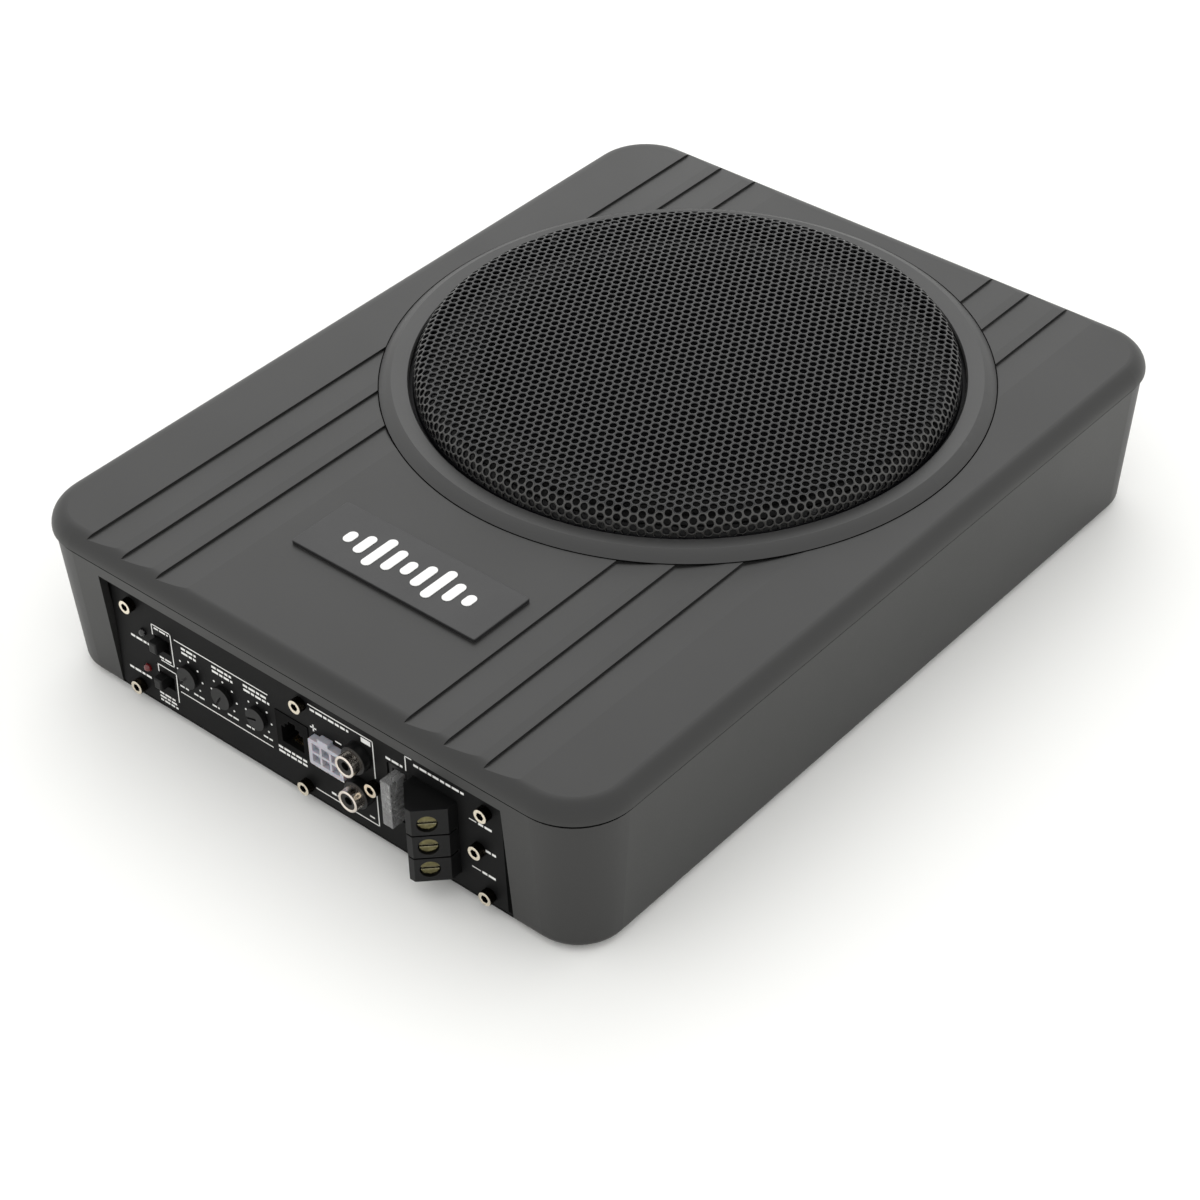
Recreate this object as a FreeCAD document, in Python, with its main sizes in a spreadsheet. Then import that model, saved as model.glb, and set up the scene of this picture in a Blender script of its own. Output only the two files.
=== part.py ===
import FreeCAD, Part
import math
import os
import re
import Sketcher

# Powered under-seat car subwoofer: a two-piece plastic case with the control panel at the -Y end,
# an eight-inch driver under a domed metal grille, and the amplifier between them.
# Millimetres. +Z up, +X to the right when facing the panel, origin at the middle of the footprint.

SIZES = [
    # case
    ("case_hw", 126.0, "half width of the cover at the seam"),
    ("case_front", 161.0, "cover front, distance ahead of the origin"),
    ("case_back", 168.0, "cover back, distance behind the origin"),
    ("case_corner", 23.0, "plan radius of the cover's corners"),
    ("top_z", 65.5, "height of the flat top"),
    ("seam_z", 59.0, "height of the seam between cover and tub"),
    ("base_z", 1.5, "underside of the tub"),
    ("cover_round", 6.3, "round along the cover's top edge"),
    ("wall", 3.0, "case wall"),
    ("seam_step", 1.0, "tub stands in from the cover by this"),
    ("tub_draft", 4.2, "draft of the tub walls, degrees"),
    ("tub_round", 3.0, "round along the tub's bottom edge"),
    ("lip_gap", 0.5, "cover lip to tub wall"),
    ("lip_wall", 1.5, "cover lip thickness"),
    ("lip_deep", 3.0, "cover lip below the seam"),
    ("screw_x1", 106.0, "corner case screws, half spacing across"),
    ("screw_x2", 110.0, "middle case screws, half spacing across"),
    ("screw_y1", -143.0, "front case screws"),
    ("screw_y2", -50.0, "middle case screws"),
    ("screw_y3", 150.0, "back case screws"),
    ("post_r", 6.2, "case screw post"),
    ("post_top", 56.5, "where the tub posts meet the cover posts"),
    ("well_r", 4.2, "well for the case screw head"),
    ("well_top", 48.0, "top of the well"),
    ("case_screw_r", 1.95, "case screw shank"),
    ("case_pilot_r", 2.0, "case screw hole"),
    ("insert_x1", 95.0, "front bracket holes, half spacing"),
    ("insert_x2", 98.0, "back bracket holes, half spacing"),
    ("insert_y1", -100.0, "front bracket holes"),
    ("insert_y2", 130.0, "back bracket holes"),
    ("insert_r", 2.1, "bracket hole radius"),
    ("insert_deep", 9.0, "bracket hole depth"),
    ("foot_x", 100.0, "feet, half spacing across"),
    ("foot_y1", -125.0, "front feet"),
    ("foot_y2", 105.0, "back feet"),
    ("foot_r", 9.0, "rubber foot radius"),
    ("foot_set", 0.5, "foot let into the tub"),
    # grooves on the cover
    ("groove_1", -96.2, "sharp edge of groove 1"),
    ("groove_2", -79.3, "sharp edge of groove 2"),
    ("groove_3", -62.5, "sharp edge of groove 3"),
    ("groove_4", 50.2, "sharp edge of groove 4"),
    ("groove_5", 66.8, "sharp edge of groove 5"),
    ("groove_6", 83.4, "sharp edge of groove 6"),
    ("groove_deep", 0.9, "groove depth at its sharp edge"),
    ("groove_wide", 12.6, "groove ramp width"),
    # grille and its ring
    ("drv_y", 44.0, "driver and grille centre line"),
    ("ring_r", 111.0, "outer radius of the grille ring"),
    ("ring_in", 100.0, "inner radius of the grille ring"),
    ("ring_high", 3.0, "ring crest above the top"),
    ("dome_r", 98.2, "outer radius of the grille wall"),
    ("dome_wall_z", 4.0, "grille wall above the top"),
    ("dome_rim_r", 92.7, "where the grille's round meets its crown"),
    ("dome_rim_z", 10.0, "height of that line above the top"),
    ("dome_top", 14.0, "grille crown above the top"),
    ("mesh", 0.8, "grille sheet"),
    ("flange_r", 104.5, "grille flange radius"),
    ("flange_seat", 1.5, "depth of the flange seat below the top"),
    ("peg_r", 1.5, "ring peg"),
    ("peg_ring", 108.2, "radius the ring pegs stand on"),
    ("peg_long", 4.0, "ring peg length"),
    ("fit", 0.1, "radial room around pegs and screws"),
    # badge
    ("badge_x", 1.0, "badge centre across"),
    ("badge_y", -103.0, "badge centre along"),
    ("badge_l", 82.5, "badge length"),
    ("badge_w", 27.2, "badge width"),
    ("badge_t", 1.4, "badge thickness"),
    # driver
    ("baffle_r", 88.0, "hole for the driver"),
    ("seat_r", 100.5, "driver seat radius"),
    ("seat_z", 60.5, "driver seat height"),
    ("baffle_t", 4.0, "cover thickness under the seat"),
    ("seal_t", 0.8, "driver seal"),
    ("basket_r", 100.0, "basket flange radius"),
    ("basket_t", 1.8, "basket flange thickness"),
    ("basket_in", 84.0, "inner radius of the basket flange"),
    ("drv_screw_ring", 91.5, "radius the driver screws stand on"),
    ("drv_screw_r", 1.5, "driver screw shank"),
    ("roll_in", 71.0, "inner edge of the surround roll"),
    ("cone_lip", 67.5, "inner edge of the surround lip"),
    ("rubber_t", 0.7, "surround thickness"),
    ("former_r", 19.4, "outer radius of the coil former"),
    ("former_t", 0.4, "coil former wall"),
    ("wind_t", 0.7, "winding thickness"),
    ("coil_gap", 0.5, "winding to top plate, and former to pole"),
    ("plate_r", 46.0, "top plate and back plate radius"),
    ("magnet_r", 50.0, "magnet radius"),
    ("back_z", 6.5, "underside of the back plate"),
    ("back_t", 4.5, "back plate thickness"),
    ("magnet_t", 11.0, "magnet thickness"),
    ("plate_t", 5.0, "top plate thickness"),
    ("ledge_z", 34.6, "spider ledge height"),
    ("steel_t", 1.4, "basket wall"),
    # control panel
    ("panel_y", 155.5, "panel face, distance ahead of the origin"),
    ("panel_t", 1.5, "panel thickness"),
    ("panel_hw", 90.6, "panel half width"),
    ("panel_z0", 3.6, "panel bottom edge"),
    ("panel_z1", 52.2, "panel top edge"),
    ("panel_gap", 0.4, "panel edge to tub"),
    ("frame_t", 4.0, "frame behind the panel"),
    ("ps_x", 81.0, "panel screws, half spacing"),
    ("ps_z0", 7.3, "lower panel screws"),
    ("ps_z1", 43.2, "upper panel screws"),
    ("ps_xm", 77.5, "right middle panel screw across"),
    ("ps_zm", 25.3, "right middle panel screw height"),
    ("rs_x", 32.4, "phono block screw across"),
    ("rs_z", 25.4, "phono block screw height"),
    ("ps_r", 1.3, "panel screw shank"),
    ("ps_head", 2.7, "panel screw head radius"),
    ("ps_high", 3.0, "panel screw head height"),
    ("knob_x1", -54.5, "low-pass control across"),
    ("knob_x2", -38.0, "bass control across"),
    ("knob_x3", -21.5, "level control across"),
    ("knob_z", 25.2, "controls height"),
    ("knob_r", 4.3, "control knob radius"),
    ("knob_high", 1.7, "knob thickness"),
    ("knob_gap", 0.3, "knob to panel"),
    ("shaft_r", 2.5, "control shaft"),
    ("shaft_fit", 0.05, "radial running fit of shafts"),
    ("sw_x", -67.0, "mode switches across"),
    ("sw_z1", 32.1, "upper mode switch height"),
    ("sw_z2", 16.1, "lower mode switch height"),
    ("sw_w", 7.4, "switch opening width"),
    ("sw_h", 5.8, "switch opening height"),
    ("nub_w", 3.6, "slider width"),
    ("nub_h", 4.4, "slider height"),
    ("nub_out", 3.6, "slider ahead of the panel"),
    ("nub_rest", -1.3, "slider at rest, from the opening's middle"),
    ("led_x", -76.3, "indicator lamps across"),
    ("led_z1", 33.2, "power lamp height"),
    ("led_z2", 17.4, "protect lamp height"),
    ("led_r", 1.5, "lamp radius"),
    ("jack_x", -5.3, "remote jack across"),
    ("jack_z", 26.3, "remote jack height"),
    ("jack_w", 15.2, "remote jack width"),
    ("jack_h", 15.0, "remote jack height over all"),
    ("plug_x", 12.4, "high-level connector across"),
    ("plug_z", 27.2, "high-level connector height"),
    ("plug_w", 15.4, "high-level connector width"),
    ("plug_h", 11.0, "high-level connector height over all"),
    ("plug_out", 2.6, "high-level connector ahead of the panel"),
    ("pitch", 4.4, "high-level connector pitch"),
    ("way", 1.75, "half width of one way"),
    ("rca_x", 26.0, "phono sockets across"),
    ("rca_z1", 35.2, "upper phono socket height"),
    ("rca_z2", 20.0, "lower phono socket height"),
    ("rca_collar", 5.2, "phono collar radius"),
    ("rca_collar_out", 3.4, "phono collar ahead of the panel"),
    ("rca_r", 4.15, "phono shell radius"),
    ("rca_bore", 3.1, "phono shell bore"),
    ("rca_out", 7.4, "phono shell ahead of the panel"),
    ("fuse_x", 43.0, "fuse across"),
    ("fuse_z", 28.0, "fuse height"),
    ("fuse_t", 5.0, "fuse thickness"),
    ("fuse_h", 19.0, "fuse width, standing up"),
    ("fuse_long", 12.0, "fuse body length"),
    ("fuse_out", 6.2, "fuse ahead of the panel"),
    ("blade_w", 5.2, "fuse blade width"),
    ("blade_t", 0.65, "fuse blade thickness"),
    ("blade_long", 7.0, "fuse blade length"),
    ("blade_z", 5.8, "fuse blades from the middle"),
    ("slot_gap", 0.35, "fuse to holder"),
    ("blk_x", 59.0, "terminal block across"),
    ("blk_hw", 9.5, "terminal block half width"),
    ("blk_side", 4.2, "terminal block straight side"),
    ("blk_nose", 1.2, "half width of the terminal block's flat nose"),
    ("face_mid", 6.72, "nose corner to the middle of a slanted face"),
    ("blk_z0", 9.3, "terminal block underside"),
    ("blk_z1", 40.0, "terminal block top"),
    ("cell", 9.8, "terminal pitch"),
    ("cell_z", 14.4, "lowest terminal height"),
    ("t_well", 3.4, "terminal screw well radius"),
    ("t_well_deep", 5.8, "terminal screw well depth"),
    ("t_set", 0.9, "terminal screw head below the face"),
    ("t_head", 3.1, "terminal screw head radius"),
    ("t_head_h", 1.8, "terminal screw head height"),
    ("t_shank", 1.6, "terminal screw shank radius"),
    ("wire_r", 2.4, "wire entry radius"),
    ("wire_deep", 9.0, "wire entry depth"),
    ("wire_at", 9.5, "wire entry's axis below the screw face"),
    ("foot_hole", 2.2, "hole for the wire clamp"),
    ("clamp_t", 0.8, "wire clamp thickness"),
    # amplifier
    ("pcb_hx", 84.0, "main board half width"),
    ("pcb_y0", -147.0, "main board front edge"),
    ("pcb_y1", -62.0, "main board back edge"),
    ("pcb_z", 9.0, "main board underside"),
    ("pcb_t", 1.6, "board thickness"),
    ("so_x", 76.0, "stand-offs, half spacing"),
    ("so_y1", -136.0, "front stand-offs"),
    ("so_y2", -70.0, "back stand-offs"),
    ("fb_y", -145.6, "front board face"),
]

NAMES = {name for name, value, note in SIZES}
DOC = FreeCAD.newDocument("subwoofer")
SHEET = DOC.addObject("Spreadsheet::Sheet", "Sheet")
NODES = []


def fill_sheet():
    for i, (name, value, note) in enumerate(SIZES, start=1):
        SHEET.set(f"A{i}", note)
        SHEET.set(f"B{i}", str(value))
        SHEET.setAlias(f"B{i}", name)
    DOC.recompute()


def linked(text):
    """The expression with every size name pointing into the sheet."""
    return re.sub(
        r"[a-z_][a-z_0-9]*",
        lambda m: "Sheet." + m.group() if m.group() in NAMES else m.group(),
        str(text),
    )


def value(text):
    return float(SHEET.evalExpression(linked(text)))


def bind(obj, path, text):
    obj.setExpression(path, linked(text))


# ---------------------------------------------------------------- building helpers


def body(label, x="0", y="0", z="0", keep=True):
    b = DOC.addObject("PartDesign::Body", label)
    b.Label = label
    for axis, text in zip("xyz", (x, y, z)):
        if text != "0":
            bind(b, f".Placement.Base.{axis}", text)
    if keep:
        NODES.append(b)
    return b


def sketch(b, plane, at="0"):
    s = b.newObject("Sketcher::SketchObject", f"{b.Name}_sketch")
    face = [f for f in b.Origin.OriginFeatures if f.Role == plane + "_Plane"][0]
    s.AttachmentSupport = [(face, "")]
    s.MapMode = "FlatFace"
    if at != "0":
        bind(s, ".AttachmentOffset.Base.z", at)
    return s


def pin(s, geo, pos, u, v):
    """Hold one point of the sketch at (u, v) from its origin."""
    for kind, axis, text in (("DistanceX", -2, u), ("DistanceY", -1, v)):
        if abs(value(text)) < 1e-9:
            s.addConstraint(Sketcher.Constraint("PointOnObject", geo, pos, axis))
        else:
            at = s.addConstraint(Sketcher.Constraint(kind, -1, 1, geo, pos, value(text)))
            bind(s, f"Constraints[{at}]", text)


def circle(s, r, u="0", v="0"):
    centre = FreeCAD.Vector(value(u), value(v), 0)
    geo = s.addGeometry(Part.Circle(centre, FreeCAD.Vector(0, 0, 1), value(r)), False)
    at = s.addConstraint(Sketcher.Constraint("Radius", geo, value(r)))
    bind(s, f"Constraints[{at}]", r)
    pin(s, geo, 3, u, v)


def arc_between(a, b, r, turn):
    """Arc from a to b with radius r; turn is +1 anticlockwise, -1 clockwise."""
    mid = (a + b) * 0.5
    half = (b - a).Length / 2
    side = FreeCAD.Vector(-(b - a).y, (b - a).x, 0).normalize()
    centre = mid + side * (turn * math.sqrt(max(r * r - half * half, 0)))
    first, last = (a, b) if turn > 0 else (b, a)
    a0 = math.atan2(first.y - centre.y, first.x - centre.x)
    a1 = math.atan2(last.y - centre.y, last.x - centre.x)
    full = Part.Circle(centre, FreeCAD.Vector(0, 0, 1), r)
    return Part.ArcOfCircle(full, a0, a1 if a1 > a0 else a1 + 2 * math.pi)


def outline(s, points, arcs=None):
    """Closed outline through points; arcs maps an edge's number to (radius, turn)."""
    arcs = arcs or {}
    n = len(points)
    spots = [FreeCAD.Vector(value(u), value(v), 0) for u, v in points]
    ends = []
    for i in range(n):
        a, b = spots[i], spots[(i + 1) % n]
        if i in arcs:
            r, turn = arcs[i]
            geo = s.addGeometry(arc_between(a, b, value(r), turn), False)
            ends.append((geo, 1, 2) if turn > 0 else (geo, 2, 1))
        else:
            geo = s.addGeometry(Part.LineSegment(a, b), False)
            ends.append((geo, 1, 2))
    for i in range(n):
        this, after = ends[i], ends[(i + 1) % n]
        s.addConstraint(Sketcher.Constraint("Coincident", this[0], this[2], after[0], after[1]))
        pin(s, this[0], this[1], *points[i])
        if i in arcs:
            at = s.addConstraint(Sketcher.Constraint("Radius", this[0], value(arcs[i][0])))
            bind(s, f"Constraints[{at}]", arcs[i][0])


def rectangle(s, u0, v0, u1, v1):
    outline(s, [(u0, v0), (u1, v0), (u1, v1), (u0, v1)])


def rounded(s, u0, v0, u1, v1, r):
    points = [
        (f"{u0}+{r}", v0),
        (f"{u1}-({r})", v0),
        (u1, f"{v0}+{r}"),
        (u1, f"{v1}-({r})"),
        (f"{u1}-({r})", v1),
        (f"{u0}+{r}", v1),
        (u0, f"{v1}-({r})"),
        (u0, f"{v0}+{r}"),
    ]
    outline(s, points, {1: (r, 1), 3: (r, 1), 5: (r, 1), 7: (r, 1)})


def feature(b, kind, s, length=None, **more):
    f = b.newObject("PartDesign::" + kind, f"{b.Name}_{kind.lower()}")
    f.Profile = s
    if length is not None:
        bind(f, "Length", length)
    for key, val in more.items():
        setattr(f, key, val)
    s.Visibility = False
    return f


def pad(b, s, length, **more):
    return feature(b, "Pad", s, length, **more)


def pocket(b, s, length=None, **more):
    if length is None:
        more["Type"] = "ThroughAll"
    return feature(b, "Pocket", s, length, **more)


def spin(b, s, kind="Revolution"):
    return feature(b, kind, s, ReferenceAxis=(s, ["V_Axis"]), Angle=360.0)


def around(b, cut, count):
    axis = [f for f in b.Origin.OriginFeatures if f.Role == "Z_Axis"][0]
    p = b.newObject("PartDesign::PolarPattern", f"{b.Name}_pattern")
    p.Originals = [cut]
    p.Axis = (axis, [""])
    p.Angle = 360.0
    p.Occurrences = count
    b.Tip = p
    return p


def fillet(b, r, pick):
    """Round the edges of the tip that pick() chooses."""
    DOC.recompute()
    tip = b.Tip
    edges = [f"Edge{i}" for i, e in enumerate(tip.Shape.Edges, start=1) if pick(e)]
    f = b.newObject("PartDesign::Fillet", f"{b.Name}_fillet")
    f.Base = (tip, edges)
    bind(f, "Radius", r)
    return f


def at_height(z):
    return lambda e: all(abs(v.Z - value(z)) < 1e-4 for v in e.Vertexes)


def at_front(y):
    return lambda e: all(abs(v.Y + value(y)) < 1e-4 for v in e.Vertexes)


def turned(label, points, arcs=None, x="0", y="0", z="0"):
    """A piece made in one revolution about its own Z axis."""
    b = body(label, x, y, z)
    s = sketch(b, "XZ")
    outline(s, points, arcs)
    spin(b, s)
    return b


def facing(b, y, kind, draw, length=None, **more):
    """Pad towards the front from, or pocket back from, the plane at y."""
    s = sketch(b, "XZ", f"-({y})")
    draw(s)
    return feature(b, kind, s, length, **more) if length else pocket(b, s, **more)


def block(label, x0, x1, y0, y1, z0, z1):
    b = body(label)
    facing(b, y1, "Pad", lambda s: rectangle(s, x0, z0, x1, z1), f"{y1}-({y0})")
    return b


def spots_six():
    out = []
    for sx in ("", "-"):
        out.append((f"{sx}screw_x1", "screw_y1"))
        out.append((f"{sx}screw_x2", "screw_y2"))
        out.append((f"{sx}screw_x1", "screw_y3"))
    return out


def spots_four(x1, y1, x2, y2):
    return [(x1, y1), (f"-{x1}", y1), (x2, y2), (f"-{x2}", y2)]


def circles(s, r, spots):
    for u, v in spots:
        circle(s, r, u, v)


def panel_spots():
    corners = [(f"{sx}ps_x", z) for sx in ("", "-") for z in ("ps_z0", "ps_z1")]
    middle = [("0", "ps_z0"), ("0", "ps_z1")]
    return corners + middle + [("ps_xm", "ps_zm"), ("rs_x", "rs_z")]


def ring_spots(r, count, first=0.0):
    out = []
    for i in range(count):
        a = first + 360.0 * i / count
        out.append((f"{r}*cos({a})", f"drv_y+{r}*sin({a})"))
    return out


# ---------------------------------------------------------------- case


def top_cover():
    b = body("top_cover")
    s = sketch(b, "XY", "seam_z")
    rounded(s, "-case_hw", "-case_front", "case_hw", "case_back", "case_corner")
    pad(b, s, "top_z-seam_z")
    fillet(b, "cover_round", at_height("top_z"))
    s = sketch(b, "XZ")
    for i in range(1, 7):
        edge = f"groove_{i}"
        low = "top_z-groove_deep"
        outline(s, [(edge, low), (f"{edge}+groove_wide", "top_z"), (edge, "top_z")])
    pocket(b, s, Midplane=True)
    s = sketch(b, "XY", "seam_z")
    edge = "-case_hw+wall", "-case_front+wall", "case_hw-wall", "case_back-wall"
    rounded(s, *edge, "case_corner-wall")
    pocket(b, s, "top_z-seam_z-wall", Reversed=True)
    s = sketch(b, "XY", "seat_z-baffle_t")
    circle(s, "ring_r", "0", "drv_y")
    pad(b, s, "top_z-seat_z+baffle_t")
    s = sketch(b, "XY", "post_top")
    circles(s, "post_r-1.5", spots_six())
    pad(b, s, "top_z-wall-post_top")
    s = sketch(b, "XY", "seam_z-lip_deep")
    out = "wall+seam_step+lip_gap"
    inn = "wall+seam_step+lip_gap+lip_wall"
    for d in (out, inn):
        edge = f"-case_hw+{d}", f"-case_front+{d}", f"case_hw-({d})", f"case_back-({d})"
        rounded(s, *edge, f"case_corner-({d})")
    pad(b, s, "top_z-wall-seam_z+lip_deep")
    s = sketch(b, "XY", "top_z")
    circle(s, "flange_r+0.5", "0", "drv_y")
    pocket(b, s, "flange_seat")
    s = sketch(b, "XY", "top_z")
    circle(s, "seat_r", "0", "drv_y")
    pocket(b, s, "top_z-seat_z")
    s = sketch(b, "XY", "top_z")
    circle(s, "baffle_r", "0", "drv_y")
    pocket(b, s)
    s = sketch(b, "XY", "seat_z")
    circles(s, "drv_screw_r+fit", ring_spots("drv_screw_ring", 8, 22.5))
    pocket(b, s)
    s = sketch(b, "XY", "top_z")
    circles(s, "peg_r+fit", ring_spots("peg_ring", 6, 30.0))
    pocket(b, s, "peg_long+0.5")
    s = sketch(b, "XY", "post_top")
    circles(s, "case_pilot_r", spots_six())
    pocket(b, s, "5", Reversed=True)


def tub_edge(d):
    """Plan edges of the tub at the seam, d inside its outer face."""
    step = f"seam_step+{d}"
    edge = f"-case_hw+{step}", f"-case_front+{step}", f"case_hw-({step})", f"case_back-({step})"
    return (*edge, f"case_corner-({step})")


def window(s):
    """The opening in the frame behind the panel, with a tab for the middle screw."""
    points = [
        ("-78.5", "11.5"),
        ("blk_x-blk_hw-1", "11.5"),
        ("blk_x-blk_hw-1", "blk_z0-0.4"),
        ("blk_x+blk_hw+1", "blk_z0-0.4"),
        ("blk_x+blk_hw+1", "11.5"),
        ("ps_xm-3.5", "11.5"),
        ("ps_xm-3.5", "46.5"),
        ("4.5", "46.5"),
        ("4.5", "ps_z1-3.7"),
        ("-4.5", "ps_z1-3.7"),
        ("-4.5", "46.5"),
        ("-78.5", "46.5"),
    ]
    outline(s, points)


def lower_tub():
    b = body("lower_tub")
    s = sketch(b, "XY", "seam_z")
    rounded(s, *tub_edge("0"))
    f = pad(b, s, "seam_z-base_z", Reversed=True)
    bind(f, "TaperAngle", "-tub_draft")
    fillet(b, "tub_round", at_height("base_z"))
    s = sketch(b, "XY", "seam_z")
    rounded(s, *tub_edge("wall"))
    f = pocket(b, s, "seam_z-base_z-wall")
    bind(f, "TaperAngle", "-tub_draft")
    frame = "-(panel_y-panel_t-frame_t)"
    gap = "panel_gap"
    facing(
        b,
        frame,
        "Pad",
        lambda s: rectangle(s, "-panel_hw-4", "base_z+1.5", "panel_hw+4", "seam_z-lip_deep-1"),
        "frame_t",
    )
    box = f"-panel_hw-{gap}", "base_z+wall*0.5", f"panel_hw+{gap}", f"panel_z1+{gap}"
    s = sketch(b, "XZ", "panel_y-panel_t")
    rectangle(s, *box)
    pocket(b, s, "30", Reversed=True)
    facing(b, "-(panel_y-panel_t)", "Pocket", window, "frame_t+4")
    facing(
        b,
        "-(panel_y-panel_t)",
        "Pocket",
        lambda s: circles(s, "ps_r+fit*0.5", panel_spots()[:-1]),
        "frame_t+4",
    )
    tub_posts(b)


def tub_posts(b):
    inside = "base_z+wall*0.5"
    s = sketch(b, "XY", inside)
    circles(s, "post_r", spots_six())
    pad(b, s, f"post_top-({inside})")
    s = sketch(b, "XY", inside)
    circles(s, "3.5", spots_four("so_x", "so_y1", "so_x", "so_y2"))
    pad(b, s, f"pcb_z-({inside})")
    s = sketch(b, "XY", inside)
    inserts = spots_four("insert_x1", "insert_y1", "insert_x2", "insert_y2")
    circles(s, "6.5", inserts)
    pad(b, s, f"base_z+insert_deep+2-({inside})")
    s = sketch(b, "XY", "base_z")
    circles(s, "well_r", spots_six())
    pocket(b, s, "well_top-base_z", Reversed=True)
    s = sketch(b, "XY", "base_z")
    circles(s, "case_pilot_r", spots_six())
    pocket(b, s, Reversed=True)
    s = sketch(b, "XY", "base_z")
    circles(s, "insert_r", inserts)
    pocket(b, s, "insert_deep", Reversed=True)
    s = sketch(b, "XY", "base_z")
    circles(s, "foot_r+fit", spots_four("foot_x", "foot_y1", "foot_x", "foot_y2"))
    pocket(b, s, "foot_set", Reversed=True)
    s = sketch(b, "XY", "pcb_z")
    circles(s, "1.3", spots_four("so_x", "so_y1", "so_x", "so_y2"))
    pocket(b, s, "5")


def feet():
    b = body("feet")
    s = sketch(b, "XY")
    circles(s, "foot_r", spots_four("foot_x", "foot_y1", "foot_x", "foot_y2"))
    pad(b, s, "base_z+foot_set")
    fillet(b, "0.6", at_height("0"))


def case_screws():
    b = body("case_screws")
    s = sketch(b, "XY", "well_top-2.6")
    circles(s, "well_r-0.5", spots_six())
    pad(b, s, "2.6")
    s = sketch(b, "XY", "well_top-2.6")
    circles(s, "case_screw_r", spots_six())
    pad(b, s, "2.6+13")
    s = sketch(b, "XY", "well_top-2.6")
    circles(s, "1.6", spots_six())
    pocket(b, s, "1.4", Reversed=True)


def badge_plate():
    b = body("badge_plate", "badge_x", "badge_y", "top_z")
    s = sketch(b, "XY")
    rounded(s, "-badge_l/2", "-badge_w/2", "badge_l/2", "badge_w/2", "0.8")
    pad(b, s, "badge_t")
    fillet(b, "0.3", at_height("badge_t"))


# ---------------------------------------------------------------- grille


def grille_ring():
    b = body("grille_ring", "0", "drv_y", "top_z")
    s = sketch(b, "XZ")
    points = [
        ("ring_in", "-0.5"),
        ("flange_r+0.4", "-0.5"),
        ("flange_r+0.4", "0"),
        ("ring_r", "0"),
        ("ring_r-4.6", "ring_high"),
        ("ring_in+0.6", "ring_high-0.6"),
        ("ring_in", "ring_high-1.2"),
    ]
    outline(s, points, {3: ("9", 1)})
    spin(b, s)
    s = sketch(b, "XY", "-peg_long")
    for i in range(6):
        a = 30.0 + 60.0 * i
        circle(s, "peg_r", f"peg_ring*cos({a})", f"peg_ring*sin({a})")
    pad(b, s, "peg_long+0.5")


def grille():
    wall = "dome_wall_z"
    inner = "dome_r-mesh"
    points = [
        ("flange_r", "-flange_seat"),
        ("flange_r", "-flange_seat+1"),
        ("dome_r", "-flange_seat+1"),
        ("dome_r", wall),
        ("dome_rim_r", "dome_rim_z"),
        ("0", "dome_top"),
        ("0", "dome_top-mesh"),
        ("dome_rim_r-mesh*0.55", "dome_rim_z-mesh*0.85"),
        (inner, wall),
        (inner, "-flange_seat"),
    ]
    crown = "(dome_rim_r^2+(dome_top-dome_rim_z)^2)/(2*(dome_top-dome_rim_z))"
    inside = "(dome_top-mesh-(dome_rim_z-mesh*0.85))"
    under = f"((dome_rim_r-mesh*0.55)^2+{inside}^2)/(2*{inside})"
    arcs = {3: ("6.6", 1), 4: (crown, 1), 6: (under, -1), 7: ("6", -1)}
    turned("grille", points, arcs, y="drv_y", z="top_z")


# ---------------------------------------------------------------- driver


def driver_seal():
    b = body("driver_seal", "0", "drv_y", "seat_z")
    s = sketch(b, "XY")
    circle(s, "basket_r")
    circle(s, "baffle_r+0.3")
    pad(b, s, "seal_t")
    s = sketch(b, "XY")
    for i in range(8):
        a = 22.5 + 45.0 * i
        circle(s, "drv_screw_r+fit", f"drv_screw_ring*cos({a})", f"drv_screw_ring*sin({a})")
    pocket(b, s, Reversed=True)


def basket():
    b = body("basket", "0", "drv_y")
    s = sketch(b, "XZ")
    low = "seat_z+seal_t"
    ring_z = "back_z+back_t+magnet_t+plate_t"
    points = [
        ("basket_r", f"{low}+basket_t"),
        ("basket_r", low),
        ("baffle_r-0.6", low),
        ("78", "46"),
        ("54", "ledge_z-steel_t"),
        ("47", "ledge_z-steel_t"),
        ("47", ring_z),
        ("34", ring_z),
        ("34", f"{ring_z}+steel_t"),
        ("47-steel_t", f"{ring_z}+steel_t"),
        ("47-steel_t", "ledge_z"),
        ("53.4", "ledge_z"),
        ("76.8", "47.2"),
        ("basket_in", "60.2"),
        ("basket_in", f"{low}+basket_t"),
    ]
    outline(s, points)
    spin(b, s)
    s = sketch(b, "XY", "seat_z-4")
    circle(s, "9.2", "66*cos(22.5)", "66*sin(22.5)")
    around(b, pocket(b, s, "35"), 8)
    s = sketch(b, "XY", "seat_z+5")
    for i in range(8):
        a = 22.5 + 45.0 * i
        circle(s, "drv_screw_r+fit", f"drv_screw_ring*cos({a})", f"drv_screw_ring*sin({a})")
    pocket(b, s, "8")


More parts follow.
